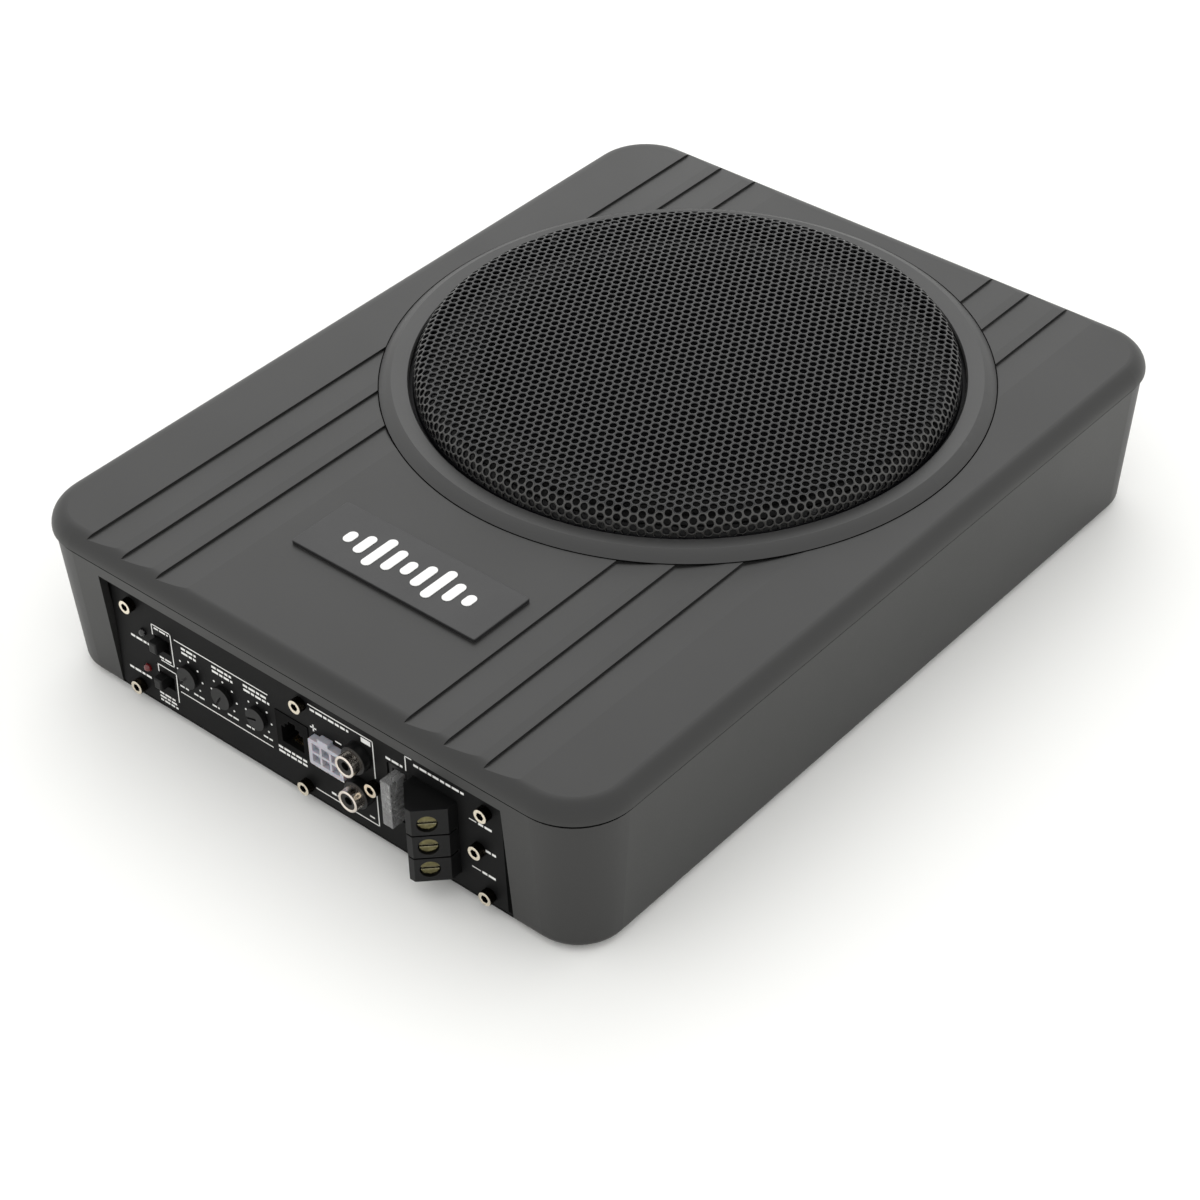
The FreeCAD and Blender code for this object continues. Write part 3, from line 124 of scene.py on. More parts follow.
def finish(
    name,
    colour,
    roughness,
    metallic=0.0,
    grain=0.35,
    relief=0.012,
    mottle=0.10,
    patch=22.0,
    rough_play=0.12,
    stretch=(1.0, 1.0, 1.0),
    edge=0.0,
    edge_colour=None,
    coat=0.0,
    sides=None,
    constants=None,
):
    """A procedural finish. Lengths are in mm: grain is the size of the skin's texture, relief its
    height, patch the size of the faint colour clouds, edge the width of the softened edges, which
    are painted lighter: wear on most finishes, a painted highlight on the terminal brass. mottle
    and rough_play are how far the colour and the roughness vary, stretch draws the skin out along
    an axis, and sides is an axis, a sign, a limit and the colour painted, as light or shade, on
    what turns past it."""
    paint = bpy.data.materials.new(name)
    paint.use_nodes = True
    tree = paint.node_tree
    tree.nodes.clear()
    recipe = Recipe(tree)
    shader = recipe.add("ShaderNodeBsdfPrincipled", {}, {"Metallic": metallic, "Coat Weight": coat})
    for key, value in (constants or {}).items():
        shader.socket.node.inputs[key].default_value = value
    recipe.add("ShaderNodeOutputMaterial", {}, {"Surface": shader})
    here = recipe.add("ShaderNodeTexCoord", {}, {}, "Object")
    skin = recipe.add("ShaderNodeMapping", {}, {"Vector": here, "Scale": stretch})
    cloud = recipe.add(
        "ShaderNodeTexNoise", {}, {"Vector": here, "Scale": 1 / (patch * MM), "Detail": 4.0}
    )
    fine = recipe.add(
        "ShaderNodeTexNoise", {}, {"Vector": skin, "Scale": 1 / (grain * MM), "Detail": 3.0}
    )
    clouded = ((cloud - 0.3) * 2.2).clamped()
    tint = recipe.mixed(clouded, shade(colour, -mottle), shade(colour, mottle))
    speck = recipe.mixed((fine * 0.5).clamped(), tint, shade(colour, -2 * mottle))
    rough = (cloud - 0.5) * rough_play + (fine - 0.5) * rough_play + roughness
    facing = recipe.add("ShaderNodeNewGeometry", {}, {}, "Normal")
    # Faces turned past the limit take another colour: painted shade on screw and knob sides, a
    # painted highlight on the grille's shoulder and hole rims.
    if sides:
        axis, sign, limit, other = sides
        painted_side_mask = recipe.add("ShaderNodeSeparateXYZ", {}, {0: facing}, axis) * sign > limit
        speck = recipe.mixed(painted_side_mask, speck, (*other, 1.0))
    bump = recipe.add(
        "ShaderNodeBump", {}, {"Height": fine, "Strength": 0.6, "Distance": relief * MM}
    )
    # Softened edges, painted lighter: wear on most finishes, a painted highlight on the terminal
    # brass.
    if edge:
        soft = recipe.add("ShaderNodeBevel", {"samples": 4}, {"Radius": edge * MM})
        recipe.tree.links.new(soft.socket, bump.socket.node.inputs["Normal"])
        alike = recipe.add(
            "ShaderNodeVectorMath", {"operation": "DOT_PRODUCT"}, {0: soft, 1: facing}, "Value"
        )
        edge_wear_and_highlight = ((1.0 - alike) * 5.0 * (fine + 0.4)).clamped()
        edge_tint_wear_and_highlight = (*edge_colour, 1.0) if edge_colour else shade(colour, 0.8)
        speck = recipe.mixed(edge_wear_and_highlight * 0.6, speck, edge_tint_wear_and_highlight)
        rough = rough - edge_wear_and_highlight * 0.08
    for key, wire in {"Base Color": speck, "Roughness": rough.clamped(), "Normal": bump}.items():
        tree.links.new(wire.socket, shader.socket.node.inputs[key])
    return paint


def wear(nodes, paint):
    """Gives CAD nodes a finish."""
    for name in nodes.split():
        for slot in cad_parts[name].material_slots:
            slot.material = paint


case_skin = finish(
    "case moulding",
    (0.014, 0.014, 0.0135),
    0.45,
    grain=0.4,
    relief=0.02,
    mottle=0.06,
    patch=45.0,
    rough_play=0.1,
)
wear("lower_tub top_cover", case_skin)


def solid_piece(name, mesh, paint):
    """The finished mesh as a piece of its own, with its finish."""
    data = bpy.data.meshes.new(name)
    mesh.to_mesh(data)
    mesh.free()
    data.materials.append(paint)
    piece = bpy.data.objects.new(name, data)
    bpy.context.scene.collection.objects.link(piece)
    return piece


def skin_over(mesh, loops):
    """Walls from each loop of points to the next one."""
    for near, far in zip(loops, loops[1:]):
        for i in range(len(near)):
            j = (i + 1) % len(near)
            mesh.faces.new((near[i], far[i], far[j], near[j]))


# A thin black strip, painted shadow, lines the seam under the cover's overhanging edge. It
# follows the tub's outline, set a little out from the wall and let into it.
SEAM_LOW, SEAM_HIGH, SEAM_PROUD, SEAM_SUNK = 57.4, 58.95, 0.05, 0.8
TUB_SIDE, TUB_BACK, TUB_FRONT, CORNER, CORNER_STEPS = 125.0, 167.0, -160.0, 22.0, 12


def seam_shadow_strip():
    turns = (
        (TUB_SIDE, TUB_BACK, 0),
        (-TUB_SIDE, TUB_BACK, 90),
        (-TUB_SIDE, TUB_FRONT, 180),
        (TUB_SIDE, TUB_FRONT, 270),
    )
    mesh = bmesh.new()
    loops = []
    for x, y, first in turns:
        middle = Vector((x - math.copysign(CORNER, x), y - math.copysign(CORNER, y)))
        for k in range(CORNER_STEPS + 1):
            a = math.radians(first + 90 * k / CORNER_STEPS)
            along = Vector((math.cos(a), math.sin(a)))
            outside = middle + along * (CORNER + SEAM_PROUD)
            inside = middle + along * (CORNER - SEAM_SUNK)
            points = (
                (*outside, SEAM_LOW),
                (*outside, SEAM_HIGH),
                (*inside, SEAM_HIGH),
                (*inside, SEAM_LOW),
            )
            loops.append([mesh.verts.new(Vector(point) * MM) for point in points])
    skin_over(mesh, loops + loops[:1])
    bmesh.ops.recalc_face_normals(mesh, faces=mesh.faces)
    # Near black, painted as the shadow in the seam.
    seam_shadow_paint = finish(
        "seam painted shadow",
        (0.002, 0.002, 0.002),
        0.9,
        grain=0.5,
        relief=0.02,
        constants={"IOR": 1.1},
    )
    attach(solid_piece("seam_shadow_strip", mesh, seam_shadow_paint), "case")


seam_shadow_strip()

# ---------------------------------------------------------------- feet
# Four moulded rubber discs, glued into shallow seats under the tub. Their skin is matt and a
# little greyer than the case.
wear("feet", finish("foot rubber", (0.018, 0.018, 0.018), 0.75, grain=0.6, relief=0.03, edge=0.3))

# ---------------------------------------------------------------- case and board screws
# Zinc-plated steel machine screws hold the tub to the cover and the main board to the tub. The
# passivation leaves them with a faint straw cast.
zinc = finish(
    "zinc plate",
    (0.55, 0.54, 0.50),
    0.34,
    metallic=1.0,
    grain=0.25,
    relief=0.006,
    mottle=0.12,
    patch=2.5,
    edge=0.12,
    edge_colour=(0.7, 0.68, 0.62),
)
wear("case_screws board_screws", zinc)

# ---------------------------------------------------------------- driver frame and magnet
# A pressed steel basket under black paint on a foam seal, with a ferrite ring magnet between
# zinc-plated steel plates. Eight screws hold it under the cover, painted black as the shade
# behind the grille.
wear("driver_seal", finish("seal foam", (0.022, 0.022, 0.022), 0.95, grain=0.8, relief=0.12))
wear(
    "basket",
    finish(
        "basket paint",
        (0.008, 0.008, 0.008),
        0.5,
        grain=0.7,
        relief=0.02,
        edge=0.25,
        constants={"IOR": 1.3},
    ),
)
wear("driver_screws", finish("driver screw painted shade", (0.012, 0.012, 0.012), 0.5, grain=0.3, relief=0.01))
wear("magnet", finish("ferrite", (0.05, 0.05, 0.053), 0.6, grain=0.5, relief=0.03, mottle=0.2))
wear(
    "top_plate yoke",
    finish(
        "plate zinc",
        (0.45, 0.45, 0.43),
        0.38,
        metallic=1.0,
        grain=0.5,
        relief=0.01,
        patch=6.0,
        mottle=0.15,
    ),
)

# ---------------------------------------------------------------- cone and voice coil
# Pressed paper pulp, dyed black, with a domed cap glued over the coil's former. The former is a
# brown polyimide film wound with enamelled copper.
wear(
    "cone dust_cap",
    finish(
        "cone pulp",
        (0.004, 0.004, 0.005),
        0.85,
        grain=1.1,
        relief=0.08,
        mottle=0.25,
        patch=5.0,
        stretch=(1.0, 0.4, 1.0),
        constants={"IOR": 1.2},
    ),
)
wear("coil_former", finish("former film", (0.30, 0.15, 0.05), 0.3, grain=0.3, relief=0.004))
wear(
    "coil_winding",
    finish(
        "enamelled copper",
        (0.52, 0.22, 0.09),
        0.3,
        metallic=1.0,
        grain=0.3,
        relief=0.05,
        stretch=(0.05, 0.05, 1.0),
    ),
)

# ---------------------------------------------------------------- surround and spider
# The rubber half-roll and the corrugated cloth disc join the cone to the basket: their inner
# edge on the cone, their outer edge on the basket. Each is made as eight matching sectors.
AXIS_Y = 44.0 * MM
SECTORS = 8


def sector(name, outline, turn, steps, paint):
    """A closed wedge of a turned ring: outline is (radius, height) in mm, going round it."""
    mesh = bmesh.new()
    loops = []
    for k in range(steps + 1):
        a = turn + 2 * math.pi / SECTORS * (k / steps - 0.5)
        loops.append(
            [
                mesh.verts.new((r * MM * math.cos(a), AXIS_Y + r * MM * math.sin(a), z * MM))
                for r, z in outline
            ]
        )
    skin_over(mesh, loops)
    mesh.faces.new(loops[0])
    mesh.faces.new(list(reversed(loops[-1])))
    bmesh.ops.recalc_face_normals(mesh, faces=mesh.faces)
    piece = solid_piece(name, mesh, paint)
    for face in piece.data.polygons:
        face.use_smooth = len(face.vertices) == 4
    return piece


def bending_ring(name, outline, paint):
    """Eight matching sectors of a turned ring, in place of the CAD node of that name."""
    for i in range(SECTORS):
        turn = 2 * math.pi * i / SECTORS
        piece = sector(f"{name}_{i + 1}", outline, turn, 8, paint)
        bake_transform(piece)
        if i == 0:
            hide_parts(name)


SEAT, SKIN = 63.1, 0.7
ROLL_MIDDLE, ROLL_TOP, ROLL_UNDER, ROLL_INNER, ROLL_OUTER = 77.5, 6.5, 5.8, 67.5, 87.4
half_turn = [math.radians(a) for a in range(0, 181, 12)]
roll_outline = [(ROLL_OUTER, SEAT + SKIN)]
roll_outline += [
    (ROLL_MIDDLE + ROLL_TOP * math.cos(a), SEAT + SKIN + ROLL_TOP * math.sin(a)) for a in half_turn
]
roll_outline += [(ROLL_INNER, SEAT + SKIN), (ROLL_INNER, SEAT)]
roll_outline += [
    (ROLL_MIDDLE - ROLL_UNDER * math.cos(a), SEAT + ROLL_UNDER * math.sin(a)) for a in half_turn
]
roll_outline.append((ROLL_OUTER, SEAT))
rubber = finish(
    "surround rubber", (0.005, 0.005, 0.005), 0.5, grain=0.6, relief=0.02, constants={"IOR": 1.25}
)
bending_ring("surround", roll_outline, rubber)

LEDGE, CLOTH = 34.9, 0.25
CLOTH_INNER, CLOTH_FLAT, CLOTH_OUTER = 19.4, 45.2, 52.5
RIPPLE_START, RIPPLE_STEP, RIPPLE_HIGH, RIPPLE_POINTS = 43.2, 0.8, 1.2, 29
ripples = [
    (RIPPLE_START - RIPPLE_STEP * i, RIPPLE_HIGH * math.cos(math.pi * (i / 4 + 1)))
    for i in range(RIPPLE_POINTS)
]
cloth_outline = [(CLOTH_OUTER, LEDGE + 0.2), (CLOTH_FLAT, LEDGE + 0.2)]
cloth_outline += [(r, LEDGE + w + CLOTH) for r, w in ripples]
cloth_outline += [(CLOTH_INNER, LEDGE + CLOTH), (CLOTH_INNER, LEDGE - CLOTH)]
cloth_outline += [(r, LEDGE + w - CLOTH) for r, w in reversed(ripples)]
cloth_outline += [(CLOTH_FLAT, LEDGE - 0.3), (CLOTH_OUTER, LEDGE - 0.3)]
cloth = finish(
    "spider cloth",
    (0.42, 0.30, 0.09),
    0.9,
    grain=0.5,
    relief=0.1,
    mottle=0.15,
    stretch=(1.0, 0.3, 1.0),
)
bending_ring("spider", cloth_outline, cloth)

# ---------------------------------------------------------------- amplifier
# Two glass-epoxy boards carry a toroid choke, three capacitors, four transistors on a drawn
# aluminium heat sink, and the leads to the driver.
board_green = finish(
    "solder resist", (0.012, 0.10, 0.045), 0.32, grain=1.6, relief=0.02, mottle=0.3, patch=3.0
)
wear("main_board front_board", board_green)
wear(
    "toroid",
    finish("choke wire", (0.55, 0.22, 0.07), 0.3, metallic=1.0, grain=1.2, relief=0.3),
)
wear(
    "filter_capacitors",
    finish("capacitor sleeve", (0.02, 0.02, 0.05), 0.25, grain=1.5, relief=0.01, edge=0.3),
)
wear(
    "heat_sink",
    finish(
        "drawn aluminium",
        (0.58, 0.58, 0.60),
        0.35,
        metallic=1.0,
        grain=0.3,
        relief=0.02,
        stretch=(1.0, 0.03, 1.0),
    ),
)
epoxy = finish("package epoxy", (0.02, 0.02, 0.021), 0.5, grain=0.2, relief=0.01, edge=0.2)
wear("power_transistors", epoxy)
wear(
    "driver_terminals connector_pins jack_contacts",
    finish("tinned brass", (0.66, 0.52, 0.28), 0.28, metallic=1.0, grain=0.3, relief=0.005),
)
wear(
    "speaker_wires",
    finish("wire sleeve", (0.32, 0.015, 0.012), 0.4, grain=0.8, relief=0.01, mottle=0.08),
)

# ---------------------------------------------------------------- control panel
# A punched steel plate, powder coated black, held in the tub's recess by socket-head screws. Its
# openings are cut for the jacks, the controls and the terminal block.
panel_coat = finish(
    "panel coat",
    (0.005, 0.005, 0.0052),
    0.55,
    grain=0.3,
    relief=0.02,
    mottle=0.08,
    patch=30.0,
    edge=0.15,
    constants={"IOR": 1.2},
)
wear("control_panel", panel_coat)

# ---------------------------------------------------------------- printed marks
# White ink, screen printed on the panel: frames round each group, a tick dot at every step of the
# controls, polarity marks, and plain dashes that stand for the labels.
PANEL_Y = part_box("control_panel")[0].y
INK = 0.04 * MM
ink = finish(
    "white ink",
    (0.78, 0.78, 0.76),
    0.55,
    grain=0.25,
    relief=0.004,
    mottle=0.06,
    patch=2,
)


def strips(name, rows, paint, face_y, thick):
    """Flat bars on the panel: each row is x0, z0, x1, z1 and the bar's width, in mm."""
    mesh = bmesh.new()
    for x0, z0, x1, z1, width in rows:
        along = Vector((x1 - x0, 0, z1 - z0))
        reach = along.normalized() * width / 2
        aside = Vector((-reach.z, 0, reach.x))
        ends = Vector((x0, 0, z0)) - reach, Vector((x1, 0, z1)) + reach
        corners = [ends[0] - aside, ends[1] - aside, ends[1] + aside, ends[0] + aside]
        low, high = [
            [mesh.verts.new(Vector((c.x * MM, y, c.z * MM))) for c in corners]
            for y in (face_y + thick, face_y - thick)
        ]
        mesh.faces.new(list(reversed(low)))
        mesh.faces.new(high)
        for i in range(4):
            j = (i + 1) % 4
            mesh.faces.new((low[i], low[j], high[j], high[i]))
    bmesh.ops.recalc_face_normals(mesh, faces=mesh.faces)
    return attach(solid_piece(name, mesh, paint), "case")


def path(points, width):
    """Bars of one width along a run of points."""
    return [(*a, *b, width) for a, b in zip(points, points[1:])]


LINE = 0.42
frames = path([(-60.3, 37.9), (-16.0, 37.9)], LINE)
frames += path([(-60.3, 14.8), (-16.0, 14.8)], LINE)
frames += path([(-71.5, 34.8), (-71.5, 39.2), (-62.3, 39.2), (-62.3, 24.7), (-68.5, 24.7)], LINE)
frames += path([(-70.9, 18.6), (-70.9, 21.9), (-61.8, 21.9), (-62.3, 9.0)], LINE)
frames += path([(3.6, 44.7), (32.4, 44.7), (32.4, 29.0)], LINE)
frames += path([(32.4, 21.8), (32.4, 7.7), (3.6, 7.7)], LINE)
frames += path([(46.8, 40.8), (46.8, 46.9), (49.4, 46.9)], LINE)
strips("panel_frames", frames, ink, PANEL_Y, INK)

plus_and_minus = [
    (3.9, 35.2, 6.1, 35.2, 0.6),
    (5.0, 34.1, 5.0, 36.3, 0.6),
    (15.3, 35.1, 17.5, 35.1, 0.6),
]
phono_marks = [(28.2, 42.9, 30.4, 42.9, 2.0), (28.6, 10.0, 30.2, 10.0, 0.6)]
marks = plus_and_minus + phono_marks
DASHES, DASH_GAP = (2.1, 3.0, 1.5, 2.6, 1.8), 0.55


def label(x0, x1, z, rows=1, height=0.95, leading=1.9):
    """Dashes of uneven length, in one or more rows, from x0 to x1."""
    found = []
    half = height / 2
    for row in range(rows):
        x, k, line = x0, row, z - leading * row
        while x < x1 - 0.6:
            end = min(x + DASHES[k % len(DASHES)], x1)
            found.append((x + half, line, max(end - half, x + half + 0.1), line, height))
            x = end + DASH_GAP
            k += 1
    return found


marks += label(-83.2, -73.9, 28.6)
marks += label(-86.4, -75.2, 12.8)
marks += label(-70.4, -63.4, 38.0, height=0.7)
marks += label(-69.3, -62.9, 25.9, height=0.8)
marks += label(-72.0, -63.3, 8.6, rows=3, height=0.8, leading=1.6)
marks += label(-57.4, -50.4, 35.9, rows=2)
marks += label(-42.6, -33.2, 35.9, rows=2)
marks += label(-27.6, -15.8, 35.9, rows=2)
dial_ends = [(-60.4, -56.2), (-53.6, -48.6), (-44.6, -41.2)]
dial_ends += [(-37.2, -32.0), (-28.2, -24.4), (-20.0, -15.8)]
for x0, x1 in dial_ends:
    marks += label(x0, x1, 17.8, height=0.7)
marks += label(-13.0, 0.4, 17.4, rows=2)
marks += label(4.2, 21.5, 42.9)
marks += label(4.2, 17.4, 18.6)
marks += label(10.9, 17.6, 10.1)
marks += label(38.0, 45.4, 41.4)
marks += label(50.4, 72.4, 45.2)
marks += label(77.4, 83.6, 36.1)
marks += label(80.0, 84.3, 25.9)
marks += label(78.0, 84.3, 15.4)
leader_lines = [(73.7, 36.1, 76.4, 36.1, 0.35), (73.8, 15.4, 77.2, 15.4, 0.35)]
marks += leader_lines
strips("panel_marks", marks, ink, PANEL_Y, INK)

# A thin black strip, painted shadow, fills the gap at the panel's right-hand end.
END_STRIP = 0.12 * MM
# Near black, painted as the shadow in narrow gaps.
gap_shadow_black = finish(
    "gap painted shadow", (0.002, 0.002, 0.002), 0.9, grain=0.5, relief=0.03, constants={"IOR": 1.1}
)
strips("panel_end_shadow_strip", [(89.0, 47.0, 90.1, 6.0, 3.0)], gap_shadow_black, PANEL_Y, END_STRIP)


class Pattern(Recipe):
    """A geometry tree with named inputs, put on a piece by its modifier."""

    def __init__(self, name, sizes):
        super().__init__(bpy.data.node_groups.new(name, "GeometryNodeTree"))
        face = self.tree.interface
        face.new_socket("Geometry", in_out="INPUT", socket_type="NodeSocketGeometry")
        for key, kind in sizes.items():
            face.new_socket(key, in_out="INPUT", socket_type="NodeSocket" + kind)
        face.new_socket("Geometry", in_out="OUTPUT", socket_type="NodeSocketGeometry")
        self.given = self.tree.nodes.new("NodeGroupInput")

    def size(self, key):
        return Wire(self, self.given.outputs[key])

    def ends(self, geometry):
        whole = self.add("GeometryNodeRealizeInstances", {}, {0: geometry})
        sockets = {0: whole, "Material": self.size("Material")}
        painted = self.add("GeometryNodeSetMaterial", {}, sockets)
        self.tree.links.new(painted.socket, self.tree.nodes.new("NodeGroupOutput").inputs[0])

    def run(self, name, start, values, body, slot, smooth=False):
        """Runs the tree on a start mesh or curve and leaves a plain mesh that rides on body."""
        seed = bpy.data.objects.new(name + "_seed", start)
        bpy.context.scene.collection.objects.link(seed)
        modifier = seed.modifiers.new("pattern", "NODES")
        modifier.node_group = self.tree
        for item in self.tree.interface.items_tree:
            if item.in_out == "INPUT" and item.name in values:
                modifier[item.identifier] = values[item.name]
        bpy.context.view_layer.update()
        ready = seed.evaluated_get(bpy.context.evaluated_depsgraph_get())
        data = bpy.data.meshes.new_from_object(ready)
        data.name = name
        bpy.data.objects.remove(seed)
        for face in data.polygons:
            face.use_smooth = smooth
        piece = bpy.data.objects.new(name, data)
        bpy.context.scene.collection.objects.link(piece)
        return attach(piece, body)


def spots(name, places):
    """A mesh of loose points at the given places, in mm."""
    data = bpy.data.meshes.new(name)
    data.from_pydata([[c * MM for c in p] for p in places], [], [])
    return data


dial = Pattern(
    "tick_dots",
    {
        "Ring radius": "Float",
        "Dot radius": "Float",
        "Dot height": "Float",
        "Dots": "Int",
        "First angle": "Float",
        "Step": "Float",
        "Material": "Material",
    },
)
row_of_dots = dial.add("GeometryNodeMeshLine", {}, {"Count": dial.size("Dots")})
turn = dial.size("First angle") - dial.add("GeometryNodeInputIndex") * dial.size("Step")
across = dial.add("ShaderNodeMath", {"operation": "COSINE"}, {0: turn}) * dial.size("Ring radius")
upward = dial.add("ShaderNodeMath", {"operation": "SINE"}, {0: turn}) * dial.size("Ring radius")
at = dial.add("ShaderNodeCombineXYZ", {}, {"X": across, "Z": upward})
ring_of_dots = dial.add("GeometryNodeSetPosition", {}, {0: row_of_dots, "Position": at})
FACING_FRONT = (math.pi / 2, 0, 0)
dot = dial.add(
    "GeometryNodeMeshCylinder",
    {},
    {"Vertices": 14, "Radius": dial.size("Dot radius"), "Depth": dial.size("Dot height")},
)
dots = dial.add(
    "GeometryNodeInstanceOnPoints",
    {},
    {"Points": ring_of_dots, "Instance": dot, "Rotation": FACING_FRONT},
)
sockets = {"Points": dial.size("Geometry"), "Instance": dots}
dial.ends(dial.add("GeometryNodeInstanceOnPoints", {}, sockets))
centres = []
for knob in ("low_pass", "bass_boost", "level"):
    low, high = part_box("knob_" + knob)
    middle = (low + high) / 2
    centres.append((middle.x / MM, PANEL_Y / MM, middle.z / MM))
dial.run(
    "tick_dots",
    spots("dials", centres),
    {
        "Ring radius": 6.1 * MM,
        "Dot radius": 0.42 * MM,
        "Dot height": 2 * INK,
        "Dots": 7,
        "First angle": math.radians(225),
        "Step": math.radians(45),
        "Material": ink,
    },
    "case",
    "nylon",
)

# ---------------------------------------------------------------- panel screws
# M3 socket-head cap screws in bright nickel over brass-tinted plating: a knurled rim round a flat
# top face, and a hexagon socket.
nickel = finish(
    "screw nickel",
    (0.86, 0.78, 0.64),
    0.26,
    metallic=1.0,
    grain=0.2,
    relief=0.004,
    mottle=0.1,
    patch=1.5,
    rough_play=0.16,
    # The knurled sides and the socket walls, turned from the front, are painted near black as
    # shade.
    sides=("Y", 1.0, -0.6, (0.03, 0.025, 0.018)),
)
screw = Pattern(
    "socket_screws",
    {
        "Head radius": "Float",
        "Head height": "Float",
        "Knurl depth": "Float",
        "Knurls": "Int",
        "Socket radius": "Float",
        "Socket depth": "Float",
        "Material": "Material",
    },
)
rim = screw.add(
    "GeometryNodeCurvePrimitiveCircle",
    {},
    {"Resolution": screw.size("Knurls") * 2.0, "Radius": screw.size("Head radius")},
)
notch = screw.add(
    "ShaderNodeMath", {"operation": "MODULO"}, {0: screw.add("GeometryNodeInputIndex"), 1: 2.0}
)
narrowed = 1.0 - notch * screw.size("Knurl depth") / screw.size("Head radius")
knurled = screw.add(
    "ShaderNodeVectorMath",
    {"operation": "SCALE"},
    {0: screw.add("GeometryNodeInputPosition"), "Scale": narrowed},
)
rim = screw.add("GeometryNodeSetPosition", {}, {0: rim, "Position": knurled})
hexagon = screw.add(
    "GeometryNodeCurvePrimitiveCircle",
    {},
    {"Resolution": 6, "Radius": screw.size("Socket radius")},
)


def together(pattern, *parts):
    """Joins several geometries into one."""
    whole = pattern.add("GeometryNodeJoinGeometry")
    for part in parts:
        pattern.tree.links.new(part.socket, whole.socket.node.inputs[0])
    return whole


def raised(pattern, flat, height):
    """A flat face made a closed solid of that height."""
    walls = pattern.add(
        "GeometryNodeExtrudeMesh", {}, {0: flat, "Offset Scale": height, "Individual": False}
    )
    under = pattern.add("GeometryNodeFlipFaces", {}, {0: flat})
    return pattern.add(
        "GeometryNodeMergeByDistance", {}, {0: together(pattern, walls, under), "Distance": 1e-6}
    )


def filled(pattern, outline, mode):
    """A flat face inside a closed outline, in triangles or in one many-sided face."""
    return pattern.add("GeometryNodeFillCurve", {"mode": mode}, {0: outline})


ring_face = filled(screw, together(screw, rim, hexagon), "NGONS")
floor_height = screw.size("Head height") - screw.size("Socket depth")
socket_floor = raised(screw, filled(screw, hexagon, "NGONS"), floor_height)
head = together(screw, raised(screw, ring_face, screw.size("Head height")), socket_floor)
spin = screw.add(
    "FunctionNodeRandomValue", {"data_type": "FLOAT"}, {2: 0.0, 3: math.tau, "Seed": 4}, 1
)
turned_in = screw.add("ShaderNodeCombineXYZ", {}, {"Z": spin})
twisted = screw.add("FunctionNodeEulerToRotation", {}, {0: turned_in})
upright = screw.add(
    "FunctionNodeRotateRotation",
    {"rotation_space": "GLOBAL"},
    {"Rotation": twisted, "Rotate By": FACING_FRONT},
)
screw.ends(
    screw.add(
        "GeometryNodeInstanceOnPoints",
        {},
        {"Points": screw.size("Geometry"), "Instance": head, "Rotation": upright},
    )
)
SCREW_COLUMNS, SCREW_ROWS = (-81.0, 0.0, 81.0), (7.3, 43.2)
BESIDE_TERMINALS, ON_PHONO_BLOCK = (77.5, 25.3), (32.4, 25.4)
seats = [(x, z) for x in SCREW_COLUMNS for z in SCREW_ROWS] + [BESIDE_TERMINALS, ON_PHONO_BLOCK]
places = [(x, PANEL_Y / MM, z) for x, z in seats]
panel_screws = screw.run(
    "panel_screw_heads",
    spots("screw_spots", places),
    {
        "Head radius": 2.7 * MM,
        "Head height": 3.0 * MM,
        "Knurl depth": 0.12 * MM,
        "Knurls": 26,
        "Socket radius": 1.5 * MM,
        "Socket depth": 2.6 * MM,
        "Material": nickel,
    },
    "case",
    "screw_nickel",
)
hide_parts("panel_screws")


def eased(piece, width, steps=2, angle=40):
    """Rounds the piece's sharp edges."""
    bevel = piece.modifiers.new("eased", "BEVEL")
    bevel.width = width * MM
    bevel.segments = steps
    bevel.limit_method = "ANGLE"
    bevel.angle_limit = math.radians(angle)
    return piece


eased(panel_screws, 0.22)

# ---------------------------------------------------------------- controls and switches
# Three small potentiometers with slotted black nylon knobs, their sides painted near black as
# shade, and two slide switches with square black sliders in sunk housings.
knob_paint = finish(
    "knob nylon",
    (0.022, 0.022, 0.022),
    0.55,
    grain=0.3,
    relief=0.01,
    edge=0.12,
    # The knobs' sides, turned from the front, are painted near black as shade.
    sides=("Y", 1.0, -0.6, (0.0015, 0.0015, 0.0015)),
    constants={"IOR": 1.3},
)
wear("knob_low_pass knob_bass_boost knob_level", knob_paint)
black_nylon = finish(
    "black nylon",
    (0.004, 0.004, 0.0042),
    0.4,
    grain=0.4,
    relief=0.008,
    mottle=0.1,
    edge=0.2,
    edge_colour=(0.03, 0.03, 0.03),
    constants={"IOR": 1.35},
)
wear("pot_low_pass pot_bass_boost pot_level", black_nylon)
wear("switch_upper switch_lower", black_nylon)
wear("slider_upper slider_lower", black_nylon)

# ---------------------------------------------------------------- indicator lamps
# Two small domed lamps, one with a smoked lens and one with a red one, pressed into the panel
# from behind. Neither is lit.
wear(
    "lamp_power",
    finish("smoked lens", (0.008, 0.008, 0.008), 0.2, grain=0.6, relief=0.002, coat=0.3),
)
wear(
    "lamp_protect",
    finish(
        "red lens",
        (0.12, 0.003, 0.004),
        0.25,
        grain=0.6,
        relief=0.002,
        mottle=0.2,
        patch=1.2,
        coat=0.5,
    ),
)

# ---------------------------------------------------------------- remote jack
# A black moulded modular jack with a stepped opening and plated contacts at the back. It stands
# on the front board and looks out through the panel.
wear(
    "remote_jack",
    finish(
        "jack nylon",
        (0.002, 0.002, 0.002),
        0.6,
        grain=0.4,
        relief=0.008,
        edge=0.2,
        edge_colour=(0.02, 0.02, 0.02),
        constants={"IOR": 1.15},
    ),
)

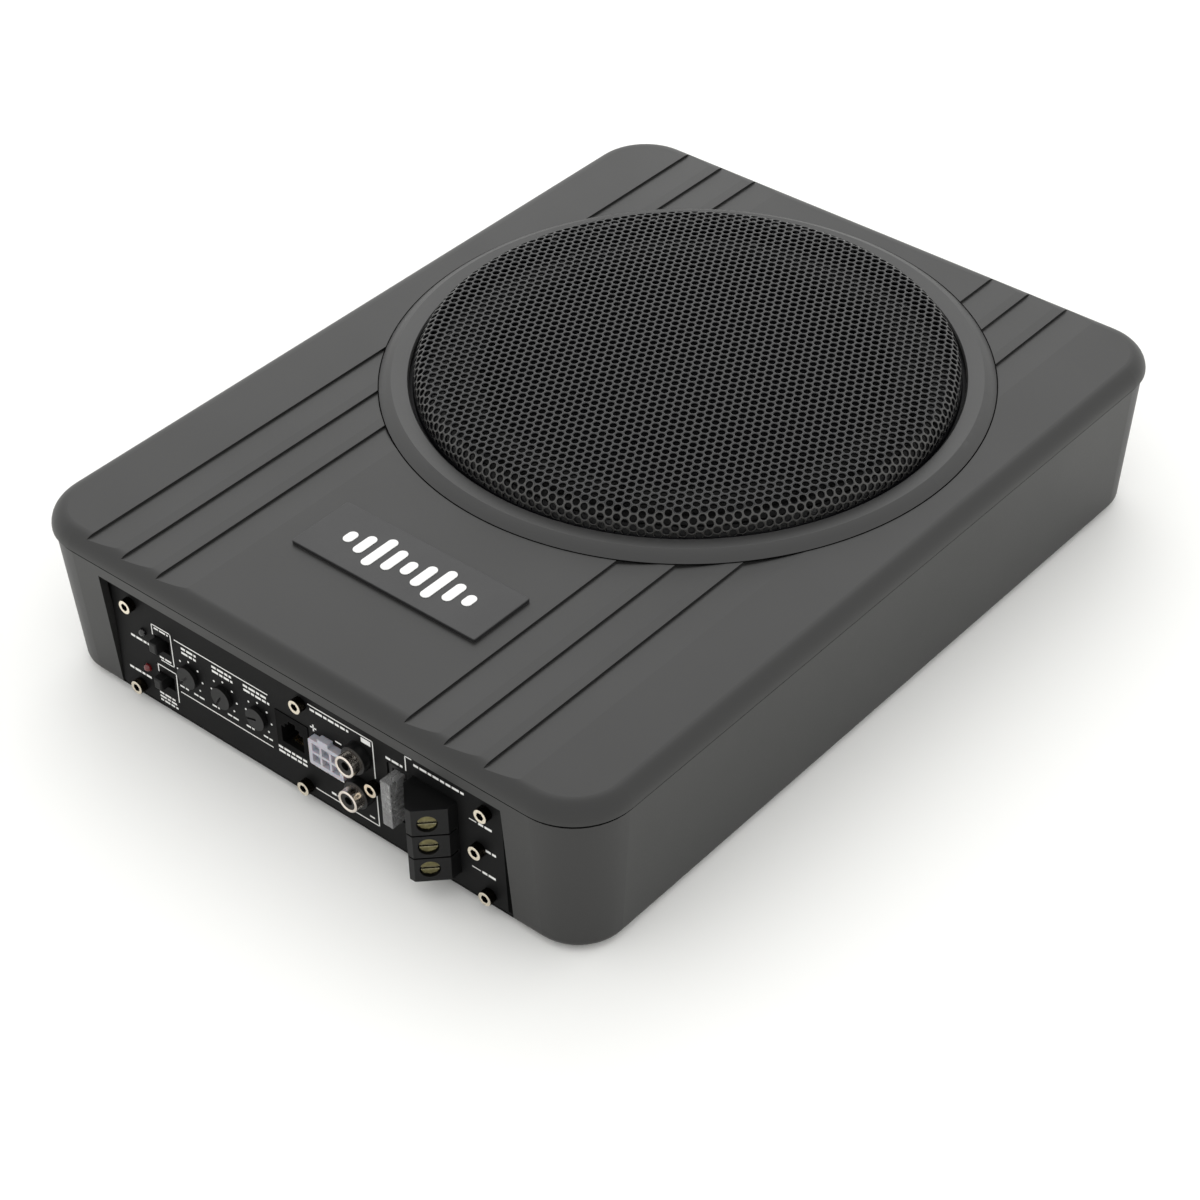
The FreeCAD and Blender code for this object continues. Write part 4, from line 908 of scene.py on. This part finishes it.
# ---------------------------------------------------------------- high-level connector
# A six-way housing moulded in natural nylon: milky, slightly translucent, with flow marks from
# moulding. A wafer of the same nylon closes each way just behind its mouth.
milk = finish(
    "natural nylon",
    (0.44, 0.44, 0.49),
    0.38,
    grain=0.7,
    relief=0.03,
    mottle=0.12,
    patch=4.0,
    edge=0.3,
    edge_colour=(0.62, 0.62, 0.66),
    constants={"Subsurface Weight": 0.25, "Subsurface Scale": 0.002, "IOR": 1.5},
)
wear("high_level_connector", milk)
WAY, WAY_PITCH, WAY_DEEP, WAYS_MIDDLE, WAFER = 1.8, 4.4, 1.9, 5.5, 1.0


def boxes(name, rows, paint, body):
    """Plain blocks joined in one piece: each row is the low corner and the high corner, in mm."""
    mesh = bmesh.new()
    for low, high in rows:
        size = [(b - a) * MM for a, b in zip(low, high)]
        centre = Vector([(a + b) / 2 * MM for a, b in zip(low, high)])
        made = bmesh.ops.create_cube(mesh, size=1.0)["verts"]
        bmesh.ops.scale(mesh, vec=size, verts=made)
        bmesh.ops.translate(mesh, vec=centre, verts=made)
    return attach(solid_piece(name, mesh, paint), body)


low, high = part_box("high_level_connector")
ways = []
for column in (-1, 0, 1):
    for row in (-0.5, 0.5):
        x = (low.x + high.x) / 2 / MM + column * WAY_PITCH
        z = low.z / MM + WAYS_MIDDLE + row * WAY_PITCH
        y = low.y / MM + WAY_DEEP
        ways.append(((x - WAY, y, z - WAY), (x + WAY, y + WAFER, z + WAY)))
boxes("connector_wafer", ways, milk, "case")

# ---------------------------------------------------------------- phono sockets
# A black nylon block with two collars, screwed to the panel, holds two turned brass shells with
# bright nickel plating.
wear("rca_block", black_nylon)
wear(
    "rca_shells",
    finish(
        "shell nickel",
        (0.80, 0.73, 0.66),
        0.24,
        metallic=1.0,
        grain=0.2,
        relief=0.004,
        mottle=0.06,
        patch=2.0,
    ),
)

# ---------------------------------------------------------------- fuse and its holder
# A blade fuse in a black holder: a clear body with moulded ribs round a zinc link that joins
# the two blades.
wear("fuse_holder", black_nylon)
clear = finish(
    "fuse polycarbonate",
    (0.62, 0.62, 0.62),
    0.12,
    grain=2.2,
    relief=0.9,
    mottle=0.1,
    patch=4.0,
    constants={"Transmission Weight": 0.75, "IOR": 1.45},
)
low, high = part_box("fuse")
x, _, z = [c / MM for c in (low + high) / 2]
front = low.y / MM
HALF_THICK, HALF_TALL, BODY_DEEP = 2.2, 9.5, 12.0
RIBS, RIB_PROUD, RIB, RIB_START, RIB_END = (-4.5, -1.5, 1.5, 4.5), 0.3, 0.35, 1.2, 9.0
clear_body = [
    ((x - HALF_THICK, front, z - HALF_TALL), (x + HALF_THICK, front + BODY_DEEP, z + HALF_TALL))
]
for k in RIBS:
    reach = HALF_THICK + RIB_PROUD
    rib_low = (x - reach, front + RIB_START, z + k - RIB)
    clear_body.append((rib_low, (x + reach, front + RIB_END, z + k + RIB)))
fuse_body = boxes("fuse_body", clear_body, clear, "fuse_link")
eased(fuse_body, 0.5, 3)
tin = finish("fuse zinc", (0.62, 0.62, 0.60), 0.3, metallic=1.0, grain=0.3, relief=0.01)
BLADE, BLADE_APART, BLADE_HALF, LINK_HALF = 0.32, 5.8, 2.6, 4.2
BLADE_START, BLADE_END, LINK_START, LINK_END = 4.0, 19.0, 3.0, 4.4
blades = []
for middle in (z - BLADE_APART, z + BLADE_APART):
    blade_low = (x - BLADE, front + BLADE_START, middle - BLADE_HALF)
    blades.append((blade_low, (x + BLADE, front + BLADE_END, middle + BLADE_HALF)))
link_low = (x - BLADE, front + LINK_START, z - LINK_HALF)
blades.append((link_low, (x + BLADE, front + LINK_END, z + LINK_HALF)))
fuse_blades = boxes("fuse_blades", blades, tin, "fuse_link")
eased(fuse_blades, 0.12)
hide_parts("fuse")
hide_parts("fuse")

# ---------------------------------------------------------------- terminal block
# A black phenolic block with three slanted cells; a slotted brass screw in each well drives a
# brass clamp down on the wire.
phenolic = finish(
    "phenolic",
    (0.005, 0.005, 0.0052),
    0.4,
    grain=0.35,
    relief=0.012,
    mottle=0.1,
    edge=0.3,
    edge_colour=(0.025, 0.025, 0.025),
    constants={"IOR": 1.3},
)
wear("terminal_block", phenolic)
# The brass is painted dark as the shade down in the wells, with a bright painted highlight on its
# edges.
brass = finish(
    "terminal brass painted shade and highlight",
    (0.20, 0.18, 0.09),
    0.2,
    metallic=1.0,
    grain=1.6,
    relief=0.2,
    mottle=0.4,
    patch=1.5,
    rough_play=0.2,
    edge=0.2,
    edge_colour=(0.95, 0.9, 0.7),
)
for row in ("low", "middle", "high"):
    wear(f"terminal_screw_{row} wire_clamp_{row}", brass)

# ---------------------------------------------------------------- grille ring
# A satin moulded ring with a raised crest, pegged into the cover. It clamps the grille's flange,
# and a thin black painted shadow line runs where it meets the cover.
wear(
    "grille_ring",
    finish(
        "ring moulding",
        (0.026, 0.026, 0.0258),
        0.40,
        grain=0.5,
        relief=0.01,
        mottle=0.05,
        patch=40.0,
        edge=0.2,
    ),
)

# ---------------------------------------------------------------- perforated grille
# Steel sheet, punched with round holes on a triangular lattice, pressed to a shallow dome with a
# rolled shoulder, then powder coated blue-black. The flat sheet is drawn first and then laid on
# the dome's profile, so the holes keep their spacing along the sheet.
grille_coat = finish(
    "grille coat",
    (0.008, 0.0085, 0.010),
    0.3,
    grain=0.5,
    relief=0.01,
    mottle=0.25,
    patch=30.0,
    # The shoulder and the hole rims, turned from straight up, are painted lighter as a highlight.
    sides=("Z", -1.0, -0.86, (0.055, 0.054, 0.052)),
    constants={"IOR": 1.4},
)
# Near black, painted as the shade in the holes, on the sheet's back and in the gap under the ring.
hole_shade = finish(
    "painted hole shade", (0.004, 0.004, 0.005), 0.5, grain=0.5, relief=0.01, constants={"IOR": 1.2}
)
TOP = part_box("badge_plate")[0].z / MM
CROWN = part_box("grille")[1].z / MM - TOP
WALL_R, WALL_Z = 98.2, 4.0
SHOULDER_R, SHOULDER_Z, SHOULDER = 92.7, 10.0, 6.6
SHEET, SKIRT, SKIRT_BEND = 0.8, 5.0, 2.0
FIELD_EDGE = 1.95


def arc(start, end, radius, steps):
    """Points of the shorter arc from start to end, bulging outwards and up."""
    chord = Vector(end) - Vector(start)
    half = chord.length / 2
    side = Vector((chord.y, -chord.x)).normalized() * math.sqrt(radius**2 - half**2)
    centre = (Vector(start) + Vector(end)) / 2 + side
    first = math.atan2(start[1] - centre.y, start[0] - centre.x)
    last = math.atan2(end[1] - centre.y, end[0] - centre.x)
    turns = [first + (last - first) * k / steps for k in range(steps + 1)]
    return [(centre.x + radius * math.cos(a), centre.y + radius * math.sin(a)) for a in turns]


drop = CROWN - SHOULDER_Z
dome_radius = (SHOULDER_R**2 + drop**2) / (2 * drop)
profile = arc((0.0, CROWN), (SHOULDER_R, SHOULDER_Z), dome_radius, 40)
profile += arc((SHOULDER_R, SHOULDER_Z), (WALL_R, WALL_Z), SHOULDER, 14)[1:]
profile += [(WALL_R, WALL_Z - SKIRT_BEND), (WALL_R, WALL_Z - SKIRT)]
sheet_radius = sum(math.dist(a, b) for a, b in zip(profile, profile[1:]))

side_view = bpy.data.curves.new("grille_profile", "CURVE")
side_view.dimensions = "3D"
spline = side_view.splines.new("POLY")
spline.points.add(len(profile) - 1)
for point, (r, z) in zip(spline.points, profile):
    point.co = (r * MM, 0, z * MM, 1)

mesh_dome = Pattern(
    "perforated_dome",
    {
        "Hole pitch": "Float",
        "Hole radius": "Float",
        "Hole sides": "Int",
        "Field radius": "Float",
        "Material": "Material",
    },
)
pitch = mesh_dome.size("Hole pitch")
row_step = pitch * (math.sqrt(3) / 2)
field = mesh_dome.size("Field radius")
across_count = mesh_dome.add("ShaderNodeMath", {"operation": "CEIL"}, {0: field / pitch})
along_count = mesh_dome.add("ShaderNodeMath", {"operation": "CEIL"}, {0: field / row_step})
columns = across_count * 2.0 + 3.0
rows = along_count * 2.0 + 1.0
lattice = mesh_dome.add(
    "GeometryNodeMeshGrid",
    {},
    {
        "Size X": (columns - 1.0) * pitch,
        "Size Y": (rows - 1.0) * row_step,
        "Vertices X": columns,
        "Vertices Y": rows,
    },
)
where = mesh_dome.add("GeometryNodeInputPosition")
row_at = mesh_dome.add("ShaderNodeSeparateXYZ", {}, {0: where}, "Y") / row_step
row_number = mesh_dome.add("ShaderNodeMath", {"operation": "ROUND"}, {0: row_at})
odd = mesh_dome.add("ShaderNodeMath", {"operation": "PINGPONG"}, {0: row_number, 1: 1.0})
shifted = mesh_dome.add("ShaderNodeCombineXYZ", {}, {"X": odd * pitch * 0.5})
lattice = mesh_dome.add("GeometryNodeSetPosition", {}, {0: lattice, "Offset": shifted})
out_from_middle = mesh_dome.add(
    "ShaderNodeVectorMath", {"operation": "LENGTH"}, {0: where}, "Value"
)
lattice = mesh_dome.add(
    "GeometryNodeDeleteGeometry",
    {"domain": "POINT"},
    {0: lattice, "Selection": out_from_middle > field},
)
hole = mesh_dome.add(
    "GeometryNodeCurvePrimitiveCircle",
    {},
    {"Resolution": mesh_dome.size("Hole sides"), "Radius": mesh_dome.size("Hole radius")},
)
sockets = {"Resolution": 6, "Radius": pitch * (1 / math.sqrt(3))}
outer = mesh_dome.add("GeometryNodeCurvePrimitiveCircle", {}, sockets)
sockets = {"Geometry": outer, "Rotation": (0, 0, math.radians(30))}
outer = mesh_dome.add("GeometryNodeTransform", {}, sockets)
cell = filled(mesh_dome, together(mesh_dome, hole, outer), "TRIANGLES")
sockets = {"Points": lattice, "Instance": cell}
placed = mesh_dome.add("GeometryNodeInstanceOnPoints", {}, sockets)
cells = mesh_dome.add("GeometryNodeRealizeInstances", {}, {0: placed})
sockets = {0: cells, "Distance": pitch * 0.01}
punched = mesh_dome.add("GeometryNodeMergeByDistance", {}, sockets)
laid = mesh_dome.add(
    "GeometryNodeSampleCurve",
    {"mode": "LENGTH"},
    {"Curves": mesh_dome.size("Geometry"), "Length": out_from_middle},
    "Position",
)
outward = mesh_dome.add("ShaderNodeVectorMath", {"operation": "NORMALIZE"}, {0: where})
reach = mesh_dome.add("ShaderNodeSeparateXYZ", {}, {0: laid}, "X")
sockets = {0: outward, "Scale": reach}
swung = mesh_dome.add("ShaderNodeVectorMath", {"operation": "SCALE"}, sockets)
height = mesh_dome.add("ShaderNodeSeparateXYZ", {}, {0: laid}, "Z")
lift = mesh_dome.add("ShaderNodeCombineXYZ", {}, {"Z": height})
lifted = mesh_dome.add("ShaderNodeVectorMath", {"operation": "ADD"}, {0: swung, 1: lift})
sockets = {0: lifted, 1: (0.0, AXIS_Y, TOP * MM)}
seated = mesh_dome.add("ShaderNodeVectorMath", {"operation": "ADD"}, sockets)
mesh_dome.ends(mesh_dome.add("GeometryNodeSetPosition", {}, {0: punched, "Position": seated}))
grille = mesh_dome.run(
    "grille_mesh",
    side_view,
    {
        "Hole pitch": 3.33 * MM,
        "Hole radius": 1.38 * MM,
        "Hole sides": 10,
        "Field radius": (sheet_radius - FIELD_EDGE) * MM,
        "Material": grille_coat,
    },
    "case",
    "grille_paint",
    smooth=True,
)
# A second slot, the painted hole shade, for the sheet's back and its hole walls.
grille.data.materials.append(hole_shade)
thick = grille.modifiers.new("sheet", "SOLIDIFY")
thick.thickness = SHEET * MM
thick.offset = -1.0
thick.material_offset = 1
thick.material_offset_rim = 1
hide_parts("grille")


def turned(name, outline, steps, paint):
    """A full ring turned about the driver's axis: outline is (radius, height) in mm."""
    mesh = bmesh.new()
    loops = []
    for k in range(steps):
        a = math.tau * k / steps
        loops.append(
            [
                mesh.verts.new((r * MM * math.cos(a), AXIS_Y + r * MM * math.sin(a), z * MM))
                for r, z in outline
            ]
        )
    skin_over(mesh, loops + loops[:1])
    bmesh.ops.recalc_face_normals(mesh, faces=mesh.faces)
    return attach(solid_piece(name, mesh, paint), "case")


# The flange under the ring is painted near black as the shade in the gap.
FLANGE_OUTER, FLANGE_UNDER = 104.4, 1.45
flange_outline = [
    (WALL_R - 0.6, TOP + 1.0),
    (WALL_R + 0.15, TOP + 1.0),
    (WALL_R + 0.6, TOP - 0.4),
    (FLANGE_OUTER, TOP - 0.5),
    (FLANGE_OUTER, TOP - FLANGE_UNDER),
    (WALL_R - 0.6, TOP - FLANGE_UNDER),
]
turned("grille_flange", flange_outline, 180, hole_shade)

# A thin black line of painted shadow runs all round the ring, where it meets the cover.
SHADOW_LINE_INNER, SHADOW_LINE_OUTER, SHADOW_LINE_SUNK, SHADOW_LINE_PROUD = 110.4, 111.3, 0.2, 0.1
shadow_line_outline = [
    (SHADOW_LINE_INNER, TOP - SHADOW_LINE_SUNK),
    (SHADOW_LINE_OUTER, TOP - SHADOW_LINE_SUNK),
    (SHADOW_LINE_OUTER, TOP + SHADOW_LINE_PROUD),
    (SHADOW_LINE_INNER, TOP + SHADOW_LINE_PROUD),
]
turned("ring_shadow_line", shadow_line_outline, 240, gap_shadow_black)

# ---------------------------------------------------------------- badge
# A satin black plate, stuck to the cover between its two sets of grooves. It carries a plain
# mark of nine rounded bars in raised white paint.
wear(
    "badge_plate",
    finish(
        "badge face",
        (0.014, 0.014, 0.0145),
        0.42,
        grain=0.6,
        relief=0.006,
        mottle=0.05,
        patch=20.0,
        edge=0.25,
        edge_colour=(0.16, 0.16, 0.16),
    ),
)
white = finish("emblem white", (0.86, 0.86, 0.85), 0.4, grain=0.3, relief=0.004, mottle=0.03)
BARS = (0.36, 0.62, 1.0, 0.72, 0.44, 0.72, 1.0, 0.62, 0.36)
BAR_STEP, BAR_WIDTH, BAR_TALL, BAR_HIGH, BAR_SUNK = 6.7, 3.9, 16.5, 0.25, 0.05
END_POINTS = 24


def emblem():
    low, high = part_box("badge_plate")
    centre = (low + high) / 2
    mesh = bmesh.new()
    for i, share in enumerate(BARS):
        x = centre.x / MM + (i - (len(BARS) - 1) / 2) * BAR_STEP
        reach = BAR_TALL * share / 2 - BAR_WIDTH / 2
        outline = []
        for k in range(END_POINTS):
            a = math.tau * (k + 0.5) / END_POINTS
            push = reach if math.sin(a) > 0 else -reach
            outline.append((x + BAR_WIDTH / 2 * math.cos(a), push + BAR_WIDTH / 2 * math.sin(a)))
        under, face = [
            [mesh.verts.new((px * MM, centre.y + py * MM, high.z + h * MM)) for px, py in outline]
            for h in (-BAR_SUNK, BAR_HIGH)
        ]
        mesh.faces.new(list(reversed(under)))
        mesh.faces.new(face)
        for k in range(END_POINTS):
            j = (k + 1) % END_POINTS
            mesh.faces.new((under[k], under[j], face[j], face[k]))
    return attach(solid_piece("badge_emblem", mesh, white), "case")


eased(emblem(), 0.08)

# ---------------------------------------------------------------- studio
# A pale floor, an even white surround, and one broad soft lamp high behind the case's back left
# corner.
FLOOR_HALF, FLOOR_DROP = 6.0, 0.0003
LAMP_PLACE, LAMP_SIZE, LAMP_WATTS = (-2.2, 2.6, 2.7), 3.0, 24.0
ground = bpy.data.meshes.new("floor")
corners = [(-1, -1), (1, -1), (1, 1), (-1, 1)]
points = [(x * FLOOR_HALF, y * FLOOR_HALF, -FLOOR_DROP) for x, y in corners]
ground.from_pydata(points, [], [(0, 1, 2, 3)])
floor = bpy.data.objects.new("floor", ground)
bpy.context.scene.collection.objects.link(floor)
pale = bpy.data.materials.new("floor pale")
pale.use_nodes = True
pale_shader = pale.node_tree.nodes["Principled BSDF"]
pale_shader.inputs["Base Color"].default_value = (0.96, 0.96, 0.945, 1)
pale_shader.inputs["Roughness"].default_value = 0.9
ground.materials.append(pale)

surround = bpy.data.worlds.new("surround")
surround.use_nodes = True
sky = surround.node_tree.nodes["Background"]
sky.inputs["Color"].default_value = (1.0, 1.0, 0.99, 1)
sky.inputs["Strength"].default_value = 1.17
bpy.context.scene.world = surround
bpy.context.scene.view_settings.view_transform = "Standard"

lamp = bpy.data.lights.new("key", "AREA")
lamp.shape = "SQUARE"
lamp.size = LAMP_SIZE
lamp.energy = LAMP_WATTS
held = bpy.data.objects.new("key", lamp)
held.location = LAMP_PLACE
held.rotation_euler = (-Vector(LAMP_PLACE)).to_track_quat("-Z", "Y").to_euler()
bpy.context.scene.collection.objects.link(held)

# ---------------------------------------------------------------- camera
# A long lens about a metre off, in front of the case and to its right, looking down by some 39
# degrees.
lens = bpy.data.cameras.new("camera")
lens.sensor_width = 36.0
lens.lens = 86.477
lens.shift_x = 0.00195
lens.shift_y = -0.02606
lens.clip_start = 0.05
camera = bpy.data.objects.new("camera", lens)
camera.location = (0.53647, -0.62233, 0.65891)
camera.rotation_euler = [math.radians(a) for a in (51.3681, 1.0282, 40.2760)]
bpy.context.scene.collection.objects.link(camera)
bpy.context.scene.camera = camera

bpy.context.view_layer.update()
